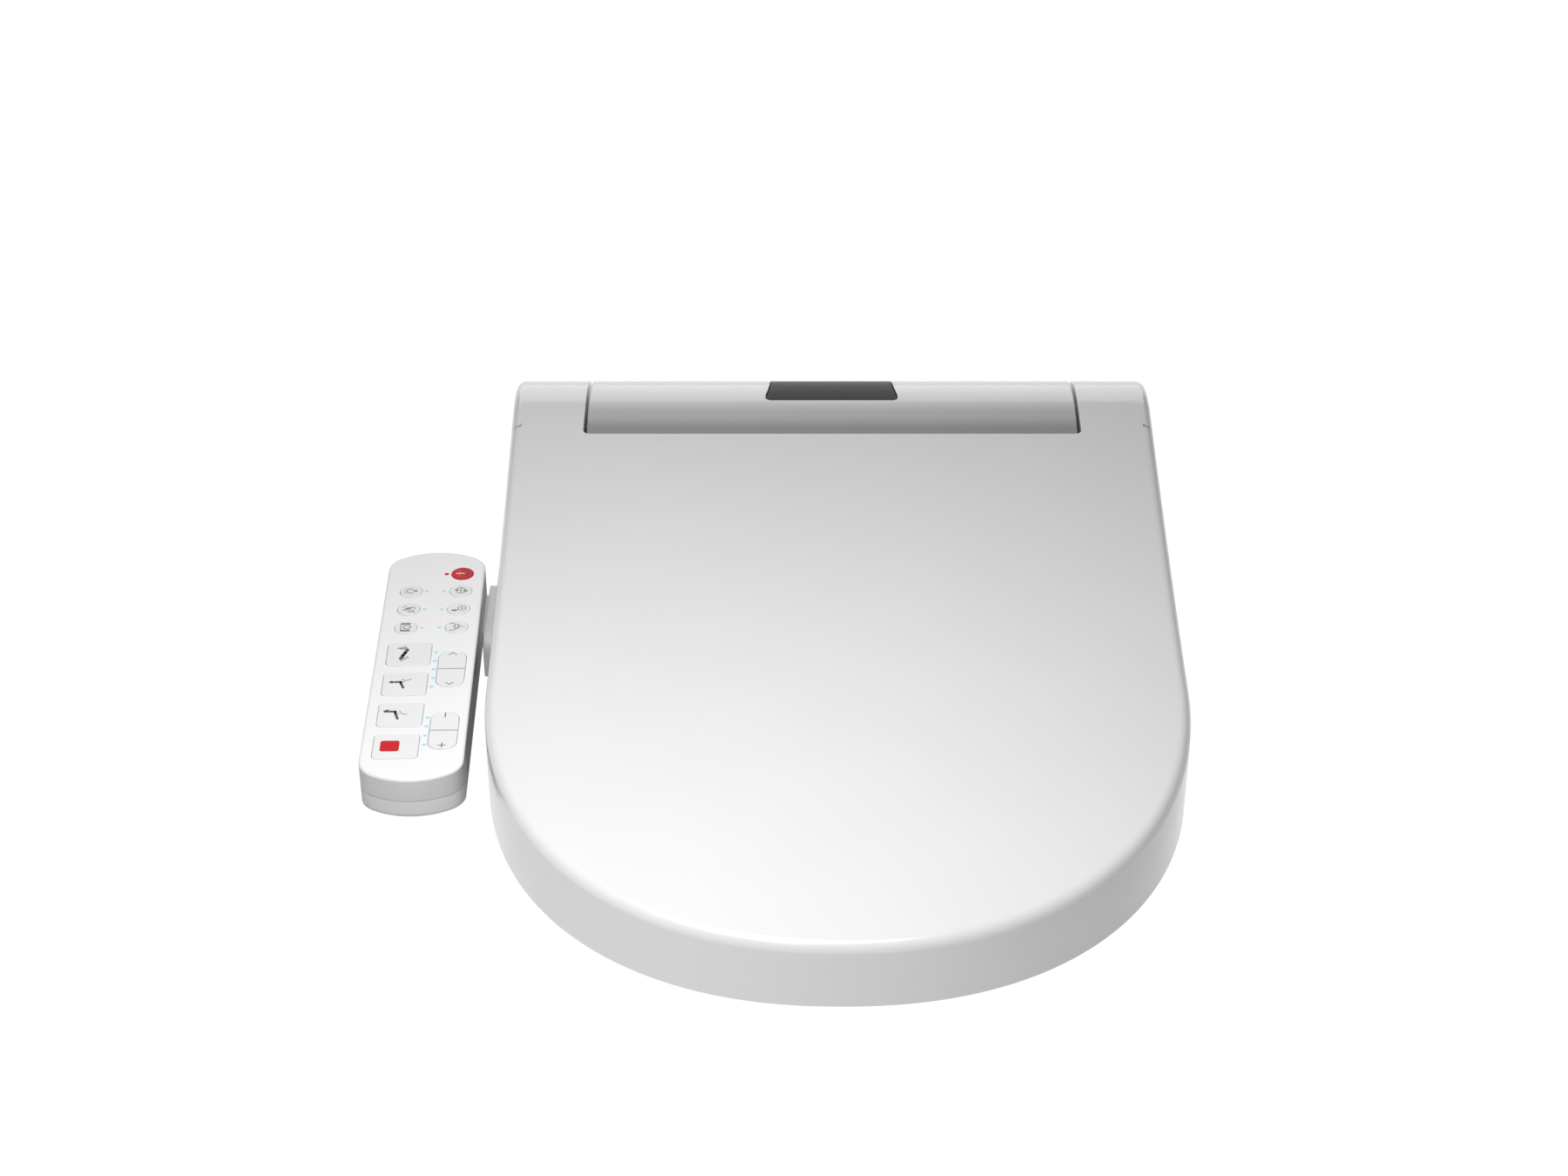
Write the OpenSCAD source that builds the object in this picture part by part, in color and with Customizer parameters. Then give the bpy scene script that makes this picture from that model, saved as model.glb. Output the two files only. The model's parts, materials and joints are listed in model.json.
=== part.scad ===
// Electric bidet seat: lid, heated seat, rear body with two wands, side control panel.
// +X is the sitter's left, -Y the front, +Z up.  The origin is midway between the two
// bowl bolts, on the face that rests on the bowl rim.

/* [Lid] */
// Width of the lid at its widest
lid_w = 384; // [340:1:410]
// Width of the lid across its rear ears
ear_w = 395; // [345:1:412]
// Distance from the bolt line to the lid's front tip
lid_reach = 470; // [400:1:490]
// Distance from the front tip back to the widest point
lid_round = 207; // [180:1:240]
// Power of the front curve, 2 is an ellipse
lid_power = 2.2; // [2:0.05:2.5]
// Height of the lid's top at the front tip
lid_front_z = 48.6; // [46:0.1:60]
// Rise of the lid's top towards the rear, in degrees
lid_slope = 4.2; // [3.5:0.1:5]
// Wall of the lid
lid_wall = 2.8; // [2:0.1:3.5]
// Rounding of the lid's top edge
lid_edge = 6; // [4.5:0.5:8]
// Height of the skirt's lower edge
skirt_z = 9; // [8.5:0.1:10]
// Height of the skirt's lower edge beside the hinge
ear_skirt_z = 38; // [37:0.5:40]

/* [Rear body] */
// Radius of the crown that the ears and the hub share
crown_r = 93; // [85:1:100]
// Where the flat of the lid runs into the crown, behind the bolt line
crown_start = -4; // [-8:1:0]
// Angle at which the crown turns into the rear wall
crown_end = 33; // [30:1:36]
// Radius between the crown and the rear wall
tail_r = 14; // [10:1:16]
// Width of the hub between the ears
hub_w = 299.4; // [285:0.1:305]
// Front wall of the hub, ahead of the bolt line
hub_front = 60; // [56:1:62]
// Wall of the hub cover
hub_wall = 3; // [2.5:0.1:3.5]
// Front edge of the notch in the lid, ahead of the bolt line
notch_front = 31.7; // [28:0.1:34]
// Gap between the hub and the ears
ear_gap = 1.8; // [1.5:0.1:2.5]
// Height of the tray's deck
deck_z = 8.8; // [8.4:0.1:9.4]

/* [Hinge] */
// Distance of the hinge axis ahead of the rear wall
hinge_inset = 26; // [25:0.5:28]
// Height of the hinge axis
hinge_z = 46; // [44:0.5:48]
// Radius of the hinge shafts
shaft_r = 5; // [4:0.1:5.5]
// Running clearance of the hinge bores
shaft_play = 0.05; // [0.03:0.01:0.08]
// Thickness of the ear's inner wall
ear_wall = 3; // [2.5:0.1:4]
// Thickness of the seat's hinge lugs
lug_w = 14; // [10:1:16]
// Radius of the seat's hinge lugs
lug_r = 17; // [14:0.5:18]

/* [Seat] */
// Gap between the lid's skirt and the seat
seat_gap = 2.2; // [1.5:0.1:3]
// Height of the seat's underside
seat_z = 9.2; // [9:0.1:10]
// Height of the parting line between the seat shells
seat_split_z = 20; // [18:0.5:22]
// Height of the seat's top at its front
seat_top_z = 41; // [38:0.5:41.5]
// Rise of the seat's top towards the rear, in degrees
seat_slope = 1.5; // [1:0.1:1.8]
// Wall of the seat shells
seat_wall = 2.8; // [2:0.1:3.2]
// Rounding of the seat's top edge
seat_edge = 10; // [7:0.5:12]
// Rounding of the opening's upper edge
hole_edge = 7; // [4:0.5:8]
// Rear edge of the seat, ahead of the bolt line
seat_rear = 67; // [66:0.5:72]
// Width of the seat's opening
hole_w = 208; // [190:1:225]
// Depth of the seat's rim between the lid's front tip and the opening
rim_front = 72; // [68:1:100]
// Rear end of the opening, ahead of the bolt line
hole_rear = 150; // [140:1:165]
// Radius of the seat's bumpers
bumper_r = 9; // [7:0.5:10]

/* [Wands] */
// Radius of each wand
wand_r = 6; // [6:0.1:6.5]
// Length of each wand
wand_len = 108; // [104:1:109]
// Travel of each wand
wand_travel = 78; // [70:1:79]
// Downward angle of the wands
wand_angle = 22; // [20:0.5:23]
// Distance between the wands
wand_pitch = 24; // [22:0.5:26]
// Radial play of the wands in their guide
wand_play = 0.05; // [0.03:0.01:0.08]
// Teeth of each drive pinion
pinion_teeth = 12; // [12:1:13]

/* [Bowl fixing] */
// Distance between the two bowl bolts
bolt_span = 140; // [130:1:155]
// Radius of a bolt slot
bolt_r = 5; // [4:0.1:6]
// Length of a bolt slot
slot_len = 34; // [26:1:36]
// Width of the mounting plate
plate_w = 200; // [190:1:206]
// Depth of the mounting plate
plate_d = 74; // [60:1:76]
// Thickness of the mounting plate
plate_t = 5; // [4:0.1:5.2]
// Radius of the water inlet's thread
inlet_r = 10.48; // [8:0.01:11]
// Length of the water inlet's thread
inlet_len = 13; // [11:0.5:16]

/* [Control panel] */
// Length of the control panel
panel_len = 222; // [215:1:230]
// Width of the control panel
panel_w = 56.5; // [55:0.1:58]
// Thickness of the control panel
panel_t = 26; // [24:0.1:28]
// Height of the panel's face
panel_z = 44; // [42:0.5:46]
// Place of the panel's middle to the side of the seat
panel_x = -231.5; // [-236:0.1:-231.5]
// Place of the panel's middle ahead of the bolt line
panel_y = -218; // [-222:1:-214]
// Toe-in of the panel, in degrees
panel_toe = 1.2; // [0.8:0.1:1.3]
// Radius of the panel's ends
panel_end_r = 42; // [38:1:46]
// Radius of the panel's corners
panel_corner_r = 14; // [12:0.5:15]
// Height of the upper case
panel_top_h = 15; // [14:0.1:16]
// Wall of the panel cases
panel_wall = 2; // [1.6:0.1:2.2]
// Radius of the round keys
key_r = 6.4; // [5.8:0.1:6.5]
// Gap around each key
key_gap = 0.25; // [0.2:0.01:0.3]
// How far the keys stand above the face
key_proud = 0.3; // [0.2:0.05:0.5]
// Travel of the keys
key_travel = 0.6; // [0.4:0.05:0.7]
// Width of the rectangular keys
bar_key_w = 24.7; // [23:0.1:25]
// Length of the rectangular keys
bar_key_h = 22; // [20:0.1:22.5]
// Spacing of the rectangular keys
bar_key_pitch = 28.9; // [28.5:0.1:29.5]
// Spacing of the round keys
round_pitch = 18.6; // [18.2:0.1:19]
// Width of the rocker keys
rocker_w = 15.5; // [14.5:0.1:16]
// Length of the rocker keys
rocker_h = 33.8; // [32:0.1:34.5]
// Radius of the indicator lights
led_r = 1.1; // [0.9:0.05:1.2]

/* [Hidden] */
$fn = 48;
eps = 0.01;
cut = 1;

// The lid's top plane, the crown behind it and the hinge.
function top_z(y) = lid_front_z + tan(lid_slope) * (y + lid_reach);
crown_y = crown_start + crown_r * sin(lid_slope);
crown_z = top_z(crown_start) - crown_r * cos(lid_slope);
rear_y = crown_y + (crown_r - tail_r) * sin(crown_end) + tail_r;
tail_z = crown_z + (crown_r - tail_r) * cos(crown_end);
hinge_y = rear_y - hinge_inset;
notch_hw = hub_w / 2 + ear_gap;
lug_in = notch_hw + ear_wall + 1.5;
wide_y = lid_round - lid_reach;
lid_corner = 8;
// Half width of the lid's straight side at y.
function side_x(y) = lid_w / 2 + (ear_w - lid_w) / 2 * (y - wide_y) / (rear_y - lid_corner - wide_y);
shoulder_w = 2 * (side_x(-hub_front) - lid_wall - seat_gap);
shoulder_z = 14;
flank_in = lug_in + lug_w + 3;

// Points along an arc, its angle counted from +Z towards +Y.
function arc(y, z, r, a0, a1, n) =
    [for (i = [0:n]) let (a = a0 + (a1 - a0) * i / n) [y + r * sin(a), z + r * cos(a)]];

// Half of the lid's plan: front curve, straight side and rounded rear corner.
function half_plan(s, rear, corner) = concat(
    [for (i = [0:24]) let (t = 90 - 90 * i / 24)
        [(lid_w / 2 - s) * pow(cos(t), 2 / lid_power),
         wide_y - (lid_round - s) * pow(sin(t), 2 / lid_power)]],
    [for (i = [0:6]) let (t = 15 * i)
        [side_x(rear - corner) - s - corner + corner * cos(t), rear - corner + corner * sin(t)]]);
function mirrored(points) = concat(points,
    [for (i = [len(points) - 1:-1:0]) if (points[i][0] > eps) [-points[i][0], points[i][1]]]);

// Side view of the rear crown, shrunk by s and standing on the height z0.
function crown_side(front, s, z0) = concat(
    [[front, z0]],
    arc(crown_y, crown_z, crown_r - s, asin((front - crown_y) / (crown_r - s)), crown_end, 20),
    arc(crown_y + (crown_r - tail_r) * sin(crown_end), tail_z, tail_r - s, crown_end, 90, 8),
    [[rear_y - s, z0]]);

// Turns a side view, drawn in Y and Z, into a body that is w wide.
module side_body(w) {
    rotate([90, 0, 90]) linear_extrude(w, center = true) children();
}

module at_hinge() {
    translate([0, hinge_y, hinge_z]) rotate([0, 90, 0]) children();
}

module box(x0, x1, y0, y1, z0, z1) {
    translate([x0, y0, z0]) cube([x1 - x0, y1 - y0, z1 - z0]);
}

module both_sides() {
    children();
    mirror([1, 0, 0]) children();
}

// ---------- lid ----------

// The closed form of the lid, shrunk by s on every side.
module lid_form(s) {
    edge = lid_edge - s / 2;
    hull() {
        translate([0, 0, skirt_z - (s > 0 ? cut : 0)]) linear_extrude(eps)
            polygon(mirrored(half_plan(s, rear_y - s, lid_corner)));
        for (a = [0:30:90]) {
            off = edge * (1 - cos(a));
            drop = edge * (1 - sin(a));
            translate([0, -lid_reach, lid_front_z - s - drop]) rotate([lid_slope, 0, 0])
                translate([0, lid_reach, 0]) linear_extrude(eps)
                polygon(mirrored(half_plan(s + off, crown_start, 1)));
            side_body(ear_w - 2 * (s + off))
                polygon(crown_side(crown_start - 1, s + drop, ear_skirt_z));
        }
    }
}

module lid_shell() color("white") difference() {
    union() {
        difference() {
            lid_form(0);
            difference() {
                lid_form(lid_wall);
                both_sides() box(notch_hw, notch_hw + ear_wall, -notch_front - 2, rear_y, ear_skirt_z, 100);
            }
            box(-ear_w, ear_w, -25, rear_y + cut, 0, ear_skirt_z);
        }
        both_sides() translate([notch_hw, 0, 0]) at_hinge() cylinder(r = 12, h = ear_wall);
    }
    box(-notch_hw, notch_hw, -notch_front, rear_y + cut, 0, 100);
    at_hinge() cylinder(r = shaft_r + shaft_play, h = ear_w - 30, center = true);
}

lid_bumper_r = 7;
lid_bumper_gap = 0.4;
lid_bumper_spots = [[lid_w * 0.234, -lid_reach * 0.868], [lid_w * 0.365, -lid_reach * 0.617]];
module lid_bumpers() color("gainsboro") both_sides() for (p = lid_bumper_spots) {
    under = top_z(p[1]) - lid_wall / cos(lid_slope) - 0.02;
    translate([p[0], p[1], under]) rotate([lid_slope, 0, 0]) mirror([0, 0, 1])
        cylinder(r = lid_bumper_r, h = under - seat_top(p[1] + lid_bumper_r) - lid_bumper_gap);
}

// ---------- seat ----------

function seat_top(y) = seat_top_z + tan(seat_slope) * (y + lid_reach);
seat_inset = lid_wall + seat_gap;
hole_front = lid_reach - rim_front;
hole_mid = (hole_front + hole_rear) / 2;
hole_rim = max(seat_wall, hole_edge * 0.9);

// Outline of the opening, grown by g.
module hole_plan(g) {
    polygon([for (i = [0:71]) let (t = 5 * i, c = cos(t), d = sin(t))
        [(hole_w / 2 + g) * sign(c) * pow(abs(c), 0.92),
         -hole_mid + ((hole_front - hole_rear) / 2 + g) * sign(d) * pow(abs(d), 0.92)]]);
}

// Flare that eases the opening's upper edge.
module hole_flare() {
    for (i = [0:2]) hull() for (a = [30 * i, 30 * i + 30])
        translate([0, -lid_reach, seat_top_z + eps - hole_edge * (1 - sin(a))]) rotate([seat_slope, 0, 0])
            translate([0, lid_reach, 0]) linear_extrude(a == 90 ? cut : eps)
            hole_plan(hole_edge * (1 - cos(a)));
}

module seat_form(s, z0, edge) {
    hull() {
        translate([0, 0, z0]) linear_extrude(eps)
            polygon(mirrored(half_plan(seat_inset + s, -seat_rear - s, 6)));
        for (a = [0:30:90]) {
            off = edge * (1 - cos(a));
            drop = edge * (1 - sin(a));
            translate([0, -lid_reach, seat_top_z - s - drop]) rotate([seat_slope, 0, 0])
                translate([0, lid_reach, 0]) linear_extrude(eps)
                polygon(mirrored(half_plan(seat_inset + s + off, -seat_rear - s - off / 2, 6)));
        }
    }
}

tunnel_hw = 45;
tunnel_z = 27;
module tunnel(g) {
    box(-tunnel_hw - g, tunnel_hw + g, -hole_rear - 30, -seat_rear + 5, 0, tunnel_z + g);
}

module seat_lug() {
    translate([lug_in, 0, 0]) rotate([90, 0, 90]) linear_extrude(lug_w) polygon([
        [-seat_rear - 12, seat_split_z + 1], [-seat_rear - 12, 43],
        [hinge_y, hinge_z + lug_r], [hinge_y, hinge_z - lug_r]]);
    translate([lug_in, 0, 0]) at_hinge() cylinder(r = lug_r, h = lug_w);
}

module seat_shell() color("white") difference() {
    union() {
        difference() {
            seat_form(0, seat_split_z, seat_edge);
            difference() {
                seat_form(seat_wall, seat_split_z - cut, seat_edge - seat_wall / 2);
                translate([0, 0, seat_split_z - cut]) linear_extrude(40) hole_plan(hole_rim);
                tunnel(seat_wall);
            }
            translate([0, 0, seat_split_z - cut]) linear_extrude(40) hole_plan(0);
            hole_flare();
        }
        both_sides() seat_lug();
    }
    tunnel(0);
    at_hinge() cylinder(r = shaft_r + shaft_play, h = ear_w, center = true);
}

module seat_base() color("whitesmoke") difference() {
    translate([0, 0, seat_z]) linear_extrude(seat_split_z - seat_z)
        polygon(mirrored(half_plan(seat_inset + 0.4, -seat_rear - 0.4, 6)));
    difference() {
        translate([0, 0, seat_z + seat_wall]) linear_extrude(20)
            polygon(mirrored(half_plan(seat_inset + seat_wall + 0.4, -seat_rear - seat_wall - 0.4, 6)));
        linear_extrude(60) hole_plan(seat_wall);
        tunnel(seat_wall);
    }
    linear_extrude(60) hole_plan(0);
    tunnel(0);
}

foil_t = 0.4;
foil_gap = 0.05;
module seat_heater() color("darkorange") difference() {
    translate([0, -lid_reach, seat_top_z - seat_wall - foil_gap - foil_t]) rotate([seat_slope, 0, 0])
        translate([0, lid_reach, 0]) linear_extrude(foil_t)
        polygon(mirrored(half_plan(seat_inset + 24, -seat_rear - 24, 6)));
    linear_extrude(60) hole_plan(hole_rim + 5);
}

seat_pad_spots = [[lid_w * 0.39, -196], [lid_w * 0.292, -lid_reach * 0.7915]];
module seat_bumpers() color("gainsboro")
    for (p = seat_pad_spots, side = [-1, 1])
        translate([side * p[0], p[1], 0]) cylinder(r = bumper_r, h = seat_z);

// ---------- rear body ----------

plate_gap = 0.4;
gasket_t = 0.8;
latch_hw = 6;
latch_z = 1.2;
recess_z = plate_t + 1.4;
tray_screws = [[-132, -46], [132, -46], [-138, 44], [138, 44]];
arm_tab = [-shoulder_w / 2 + 5.4, -hub_w / 2 - 5.3];
arm_tab_len = 19;
arm_foot_t = 6.2;
arm_screws = [[arm_tab[1] - 8, -48], [arm_tab[0] + 8, -48]];
screw_r = 1.6;
screw_head_r = 3;
screw_head_z = 2.8;
screw_len = 11;
post_r = 4.5;
post_z = deck_z + 2;
tab_z = post_z + 0.05;
tab_top = tab_z + 5.2;
arm_gap = 0.2;
tray_back = rear_y - hub_wall - 0.2;
tray_front = -hub_front + hub_wall + 0.2;
tray_hw = hub_w / 2 - hub_wall - 0.2;

module tray_shoulder() {
    difference() {
        union() {
            box(tray_hw - 1, shoulder_w / 2, -hub_front, rear_y - 2, 0, shoulder_z);
            box(flank_in, shoulder_w / 2, -hub_front, rear_y - 2, 0, ear_skirt_z - 1.5);
        }
        box(hub_w / 2 + hub_wall, shoulder_w / 2 - hub_wall, -hub_front + hub_wall,
            rear_y - 2 - hub_wall, -cut, shoulder_z - hub_wall);
        box(tray_hw - 2, hub_w / 2 + 0.3, -hub_front - 1, rear_y + 1, deck_z, 60);
        at_hinge() cylinder(r = hinge_inset + 5.5, h = ear_w, center = true, $fn = 96);
    }
}

module base_tray() color("whitesmoke") difference() {
    union() {
        box(-tray_hw, tray_hw, tray_front, tray_back, 0, deck_z);
        both_sides() tray_shoulder();
        for (p = tray_screws) translate([p[0], p[1], 0]) cylinder(r = post_r, h = post_z);
        for (p = arm_screws) translate([p[0], p[1], arm_foot_t + arm_gap])
            cylinder(r = post_r, h = shoulder_z - arm_foot_t - 1);
    }
    // recess for the mounting plate, open to the rear
    box(-plate_w / 2 - plate_gap, plate_w / 2 + plate_gap,
        -plate_d / 2 - plate_gap, rear_y + cut, -cut, recess_z);
    both_sides() box(plate_w / 2 + 6, tray_hw - 4, tray_front + 16, tray_back - 18, -cut, deck_z - 3);
    for (p = tray_screws) {
        translate([p[0], p[1], -cut]) cylinder(r = screw_r, h = 40);
        translate([p[0], p[1], -cut]) cylinder(r = screw_head_r + 0.2, h = screw_head_z + cut);
    }
    // way in for the arm's tab, and its screw holes
    box(arm_tab[0] - arm_gap, arm_tab[1] + arm_gap, -hub_front - cut,
        -hub_front + arm_tab_len + arm_gap, -cut, arm_foot_t + arm_gap);
    for (p = arm_screws)
        translate([p[0], p[1], -cut]) cylinder(r = screw_r, h = screw_head_z + screw_len + cut);
    // slot of the release latch
    box(plate_w / 2 - latch_nose - 1, shoulder_w / 2 + cut, -latch_hw - latch_play, latch_hw + latch_play,
        -cut, recess_z);
}

foot_drop = 5.8;
hub_low = deck_z - foot_drop;
module hub_side(s, z0) {
    polygon(crown_side(-hub_front + s, s, z0));
}

port_hw = 23;
port_top = 33;
fit_gap = 0.2;
slot_gap = 0.3;
window_hw = 40.5;
window_front = crown_y + crown_r * sin(1);
window_t = 1.8;
window_corner = 3.2;
// Plan of the sensor window grown by g, with its front corners rounded.
module window_plan(g) {
    r = max(window_corner + g, 0.5);
    x = window_hw + g - r;
    y = window_front - g + r;
    polygon(concat(
        [[-x - r, rear_y + cut]],
        [for (i = [0:6]) let (a = 180 + 15 * i) [-x + r * cos(a), y + r * sin(a)]],
        [for (i = [0:6]) let (a = 270 + 15 * i) [x + r * cos(a), y + r * sin(a)]],
        [[x + r, rear_y + cut]]));
}

module sensor_window() color("dimgray") intersection() {
    difference() {
        side_body(200) hub_side(0, tail_z);
        side_body(210) hub_side(window_t, tail_z - 5);
    }
    translate([0, 0, tail_z]) linear_extrude(60) window_plan(0);
}

// Height of the middle of the cover's wall at y.
function wall_z(y) = crown_z + sqrt(pow(crown_r - hub_wall / 2, 2) - pow(y - crown_y, 2));

board_t = 1.6;
main_board_z = 56;
main_posts = [[48, -22], [136, -22], [48, 20], [136, 20]];
power_board_z = 60;
power_posts = [[-136, -22], [-72, -22], [-136, 20], [-72, 20]];
board_post_r = 3;
module board_posts(posts, z) {
    for (p = posts) translate([p[0], p[1], z]) cylinder(r = board_post_r, h = wall_z(p[1]) - z);
}
window_posts = [-38.5, 38.5];
window_post_r = 2.5;
window_post_h = 6.6;
window_board_y = 14;
window_board_d = 16;
window_board_drop = 9.1;
window_board_tilt = asin((window_board_y - crown_y) / crown_r);
module on_window_board() {
    translate([0, window_board_y, wall_z(window_board_y) - window_board_drop])
        rotate([-window_board_tilt, 0, 0]) children();
}

// Tab on the inside of the front or rear wall that takes a screw of the tray.
module screw_tab(p) {
    from = p[1] < 0 ? -hub_front + hub_wall - eps : p[1] - post_r;
    to = p[1] < 0 ? p[1] + post_r : rear_y - hub_wall + eps;
    difference() {
        box(p[0] - post_r, p[0] + post_r, from, to, tab_z, tab_top);
        translate([p[0], p[1], tab_z - cut]) cylinder(r = screw_r, h = 20);
    }
}

module hub_cover() color("white") difference() {
    union() {
        difference() {
            side_body(hub_w) hub_side(0, hub_low);
            side_body(hub_w - 2 * hub_wall) hub_side(hub_wall, hub_low - cut);
        }
        for (p = tray_screws) screw_tab(p);
        board_posts(main_posts, main_board_z + board_t);
        board_posts(power_posts, power_board_z + board_t);
        on_window_board() for (x = window_posts)
            translate([x, 0, board_t]) cylinder(r = window_post_r, h = window_post_h);
    }
    // seat of the sensor window and the opening behind it
    intersection() {
        difference() {
            side_body(200) hub_side(-cut, tail_z);
            side_body(210) hub_side(window_t, tail_z - 5);
        }
        translate([0, 0, tail_z]) linear_extrude(60) window_plan(0);
    }
    translate([0, 0, tail_z]) linear_extrude(60) window_plan(-6);
    // wand port, dryer port and deodorizer inlet in the front wall
    box(-port_hw, port_hw, -hub_front - 1, -hub_front + hub_wall + 1, deck_z, port_top);
    box(duct_x - duct_w / 2 - fit_gap, duct_x + duct_w / 2 + fit_gap, -hub_front - 1,
        -hub_front + hub_wall + 1, duct_z - fit_gap, duct_z + duct_h + fit_gap);
    box(deo_x - deo_w / 2 - fit_gap, deo_x + deo_w / 2 + fit_gap, -hub_front - 1,
        -hub_front + hub_wall + 1, deo_z - fit_gap, deo_z + deo_h + fit_gap);
    // cartridge slot, inlet and gland holes in the rear wall
    box(deo_x - deo_w / 2 - slot_gap, deo_x + deo_w / 2 + slot_gap, rear_y - hub_wall - 1, rear_y + 1,
        deo_z - slot_gap, deo_z + deo_h + slot_gap);
    backward(inlet_x, rear_y - 10) cylinder(r = fitting_r + 0.1, h = 20);
    backward(gland_x, rear_y - 10) cylinder(r = gland_r + 0.1, h = 20);
    // foot: clears the tray's plate recess at the rear, and the hinge shafts at the ends
    box(-plate_w / 2 - plate_gap, plate_w / 2 + plate_gap, rear_y - 10, rear_y + cut, -cut, recess_z);
    both_sides() box(tray_hw - 1.5, hub_w / 2 + cut, -hub_front - cut, rear_y + cut, 0, deck_z);
    at_hinge() cylinder(r = shaft_r, h = hub_w + 2, center = true);
}

// Hinge shafts, dampers on their inner ends.
shaft_out = lug_in + lug_w + 2;
shaft_in = hub_w / 2 - 24;
module hinge_shaft_right() color("silver") translate([shaft_in, 0, 0]) at_hinge()
    cylinder(r = shaft_r, h = shaft_out - shaft_in);
module hinge_shaft_left() { mirror([1, 0, 0]) hinge_shaft_right(); }

damper_r = 11;
damper_len = 34;
module damper() difference() {
    translate([hub_w / 2 - hub_wall - damper_len, 0, 0]) at_hinge() cylinder(r = damper_r, h = damper_len);
    translate([shaft_in, 0, 0]) at_hinge() cylinder(r = shaft_r, h = 60);
}
module seat_damper() color("darkgray") mirror([1, 0, 0]) damper();
module lid_damper() color("darkgray") damper();

// Everything that lies along the wands is drawn with the wand's axis on +Y, tip at the origin.
wand_tip_y = -hub_front + 2;
wand_tip_z = 22;
module on_wand(x) {
    translate([x, wand_tip_y, wand_tip_z]) rotate([wand_angle, 0, 0]) children();
}

tooth = 1;
pinion_r = pinion_teeth * tooth / 2;
pinion_at = 24;
rack_line = 4.4;
pinion_h = rack_line + pinion_r;
rack_w = 5;
add = 0.7;
ded = 1;

// One straight-flanked tooth across the line at half-height zero.
function tooth_pts(u, down) = [
    [u - 0.8, -down * ded], [u - 0.3, down * add], [u + 0.3, down * add], [u + 0.8, -down * ded]];

rack_first = pinion_at - 2 * PI * tooth;
rack_count = floor((pinion_at + wand_travel + 2 * tooth - rack_first) / (PI * tooth)) + 1;
module rack_teeth() {
    translate([0, 0, rack_line]) rotate([90, 0, 90]) linear_extrude(rack_w, center = true)
        polygon(concat(
            [for (i = [0:rack_count - 1]) each tooth_pts(rack_first + i * PI * tooth, 1)],
            [[rack_first + rack_count * PI * tooth - 1, -ded - 0.8], [rack_first - 2, -ded - 0.8]]));
}

module wand(x) on_wand(x) {
    difference() {
        union() {
            translate([0, wand_r, 0]) rotate([-90, 0, 0]) cylinder(r = wand_r, h = wand_len - wand_r);
            translate([0, wand_r, 0]) sphere(r = wand_r);
        }
        box(-rack_w / 2, rack_w / 2, rack_first - 2, wand_len + cut, rack_line - ded - 0.3, wand_r + 1);
        // water channel and spray holes
        translate([0, 8, -1.5]) rotate([-90, 0, 0]) cylinder(r = 1.5, h = wand_len);
    }
    rack_teeth();
}
module rear_wand() color("whitesmoke") wand(-wand_pitch / 2);
module front_wand() color("whitesmoke") wand(wand_pitch / 2);

// Outline of the pinion: a flank, a tip and a flank for each tooth.
function tooth_ring(i) = let (a = (i + 0.5) * 360 / pinion_teeth - 90, root = pinion_r - ded,
    tip = pinion_r + add) [for (p = [[root, -8.5], [tip, -2.6], [tip, 2.6], [root, 8.5]])
        [p[0] * cos(a + p[1]), p[0] * sin(a + p[1])]];
module pinion(x) color("ivory") on_wand(x) translate([0, pinion_at, pinion_h])
    rotate([90, 0, 90]) difference() {
        linear_extrude(rack_w, center = true)
            polygon([for (i = [0:pinion_teeth - 1]) each tooth_ring(i)]);
        cylinder(r = motor_shaft_r + 0.02, h = rack_w + 2, center = true);
    }
module rear_pinion() { pinion(-wand_pitch / 2); }
module front_pinion() { pinion(wand_pitch / 2); }

guide_hw = wand_pitch / 2 + wand_r + 4;
guide_a = 5;
guide_b = 62;
guide_half = wand_r + 2.5;
leg_t = 4;
motor_shaft_r = 1.5;
motor_r = 9.5;
motor_len = 20;
module wand_guide() color("gainsboro") difference() {
    union() {
        on_wand(0) {
            box(-guide_hw, guide_hw, guide_a, guide_b, -guide_half, guide_half);
            both_sides() box(guide_hw - 3, guide_hw, pinion_at - 9, pinion_at + 9, 0, pinion_h + 8);
        }
        // legs that stand on the tray's deck
        for (u = [guide_a + 4, guide_b - 9]) let (y = wand_tip_y + u * cos(wand_angle))
            box(-guide_hw, guide_hw, y, y + leg_t, deck_z, wand_tip_z + u * sin(wand_angle) - wand_r);
    }
    for (x = [-wand_pitch / 2, wand_pitch / 2]) on_wand(x) {
        translate([0, -cut, 0]) rotate([-90, 0, 0]) cylinder(r = wand_r + wand_play, h = 90);
        box(-rack_w / 2 - 0.6, rack_w / 2 + 0.6, pinion_at - pinion_r - 1.5, pinion_at + pinion_r + 1.5,
            0, wand_r + 5);
    }
    on_wand(0) translate([0, pinion_at, pinion_h]) rotate([0, 90, 0])
        cylinder(r = motor_shaft_r + 0.3, h = 60, center = true);
}

module wand_motor() color("silver") on_wand(0) translate([guide_hw, pinion_at, pinion_h]) {
    rotate([0, 90, 0]) cylinder(r = motor_r, h = motor_len);
    translate([-guide_hw + wand_pitch / 2 - rack_w / 2, 0, 0]) rotate([0, 90, 0])
        cylinder(r = motor_shaft_r, h = guide_hw - wand_pitch / 2 + rack_w / 2 + 1);
}
module rear_motor() { mirror([1, 0, 0]) wand_motor(); }
module front_motor() { wand_motor(); }

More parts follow.
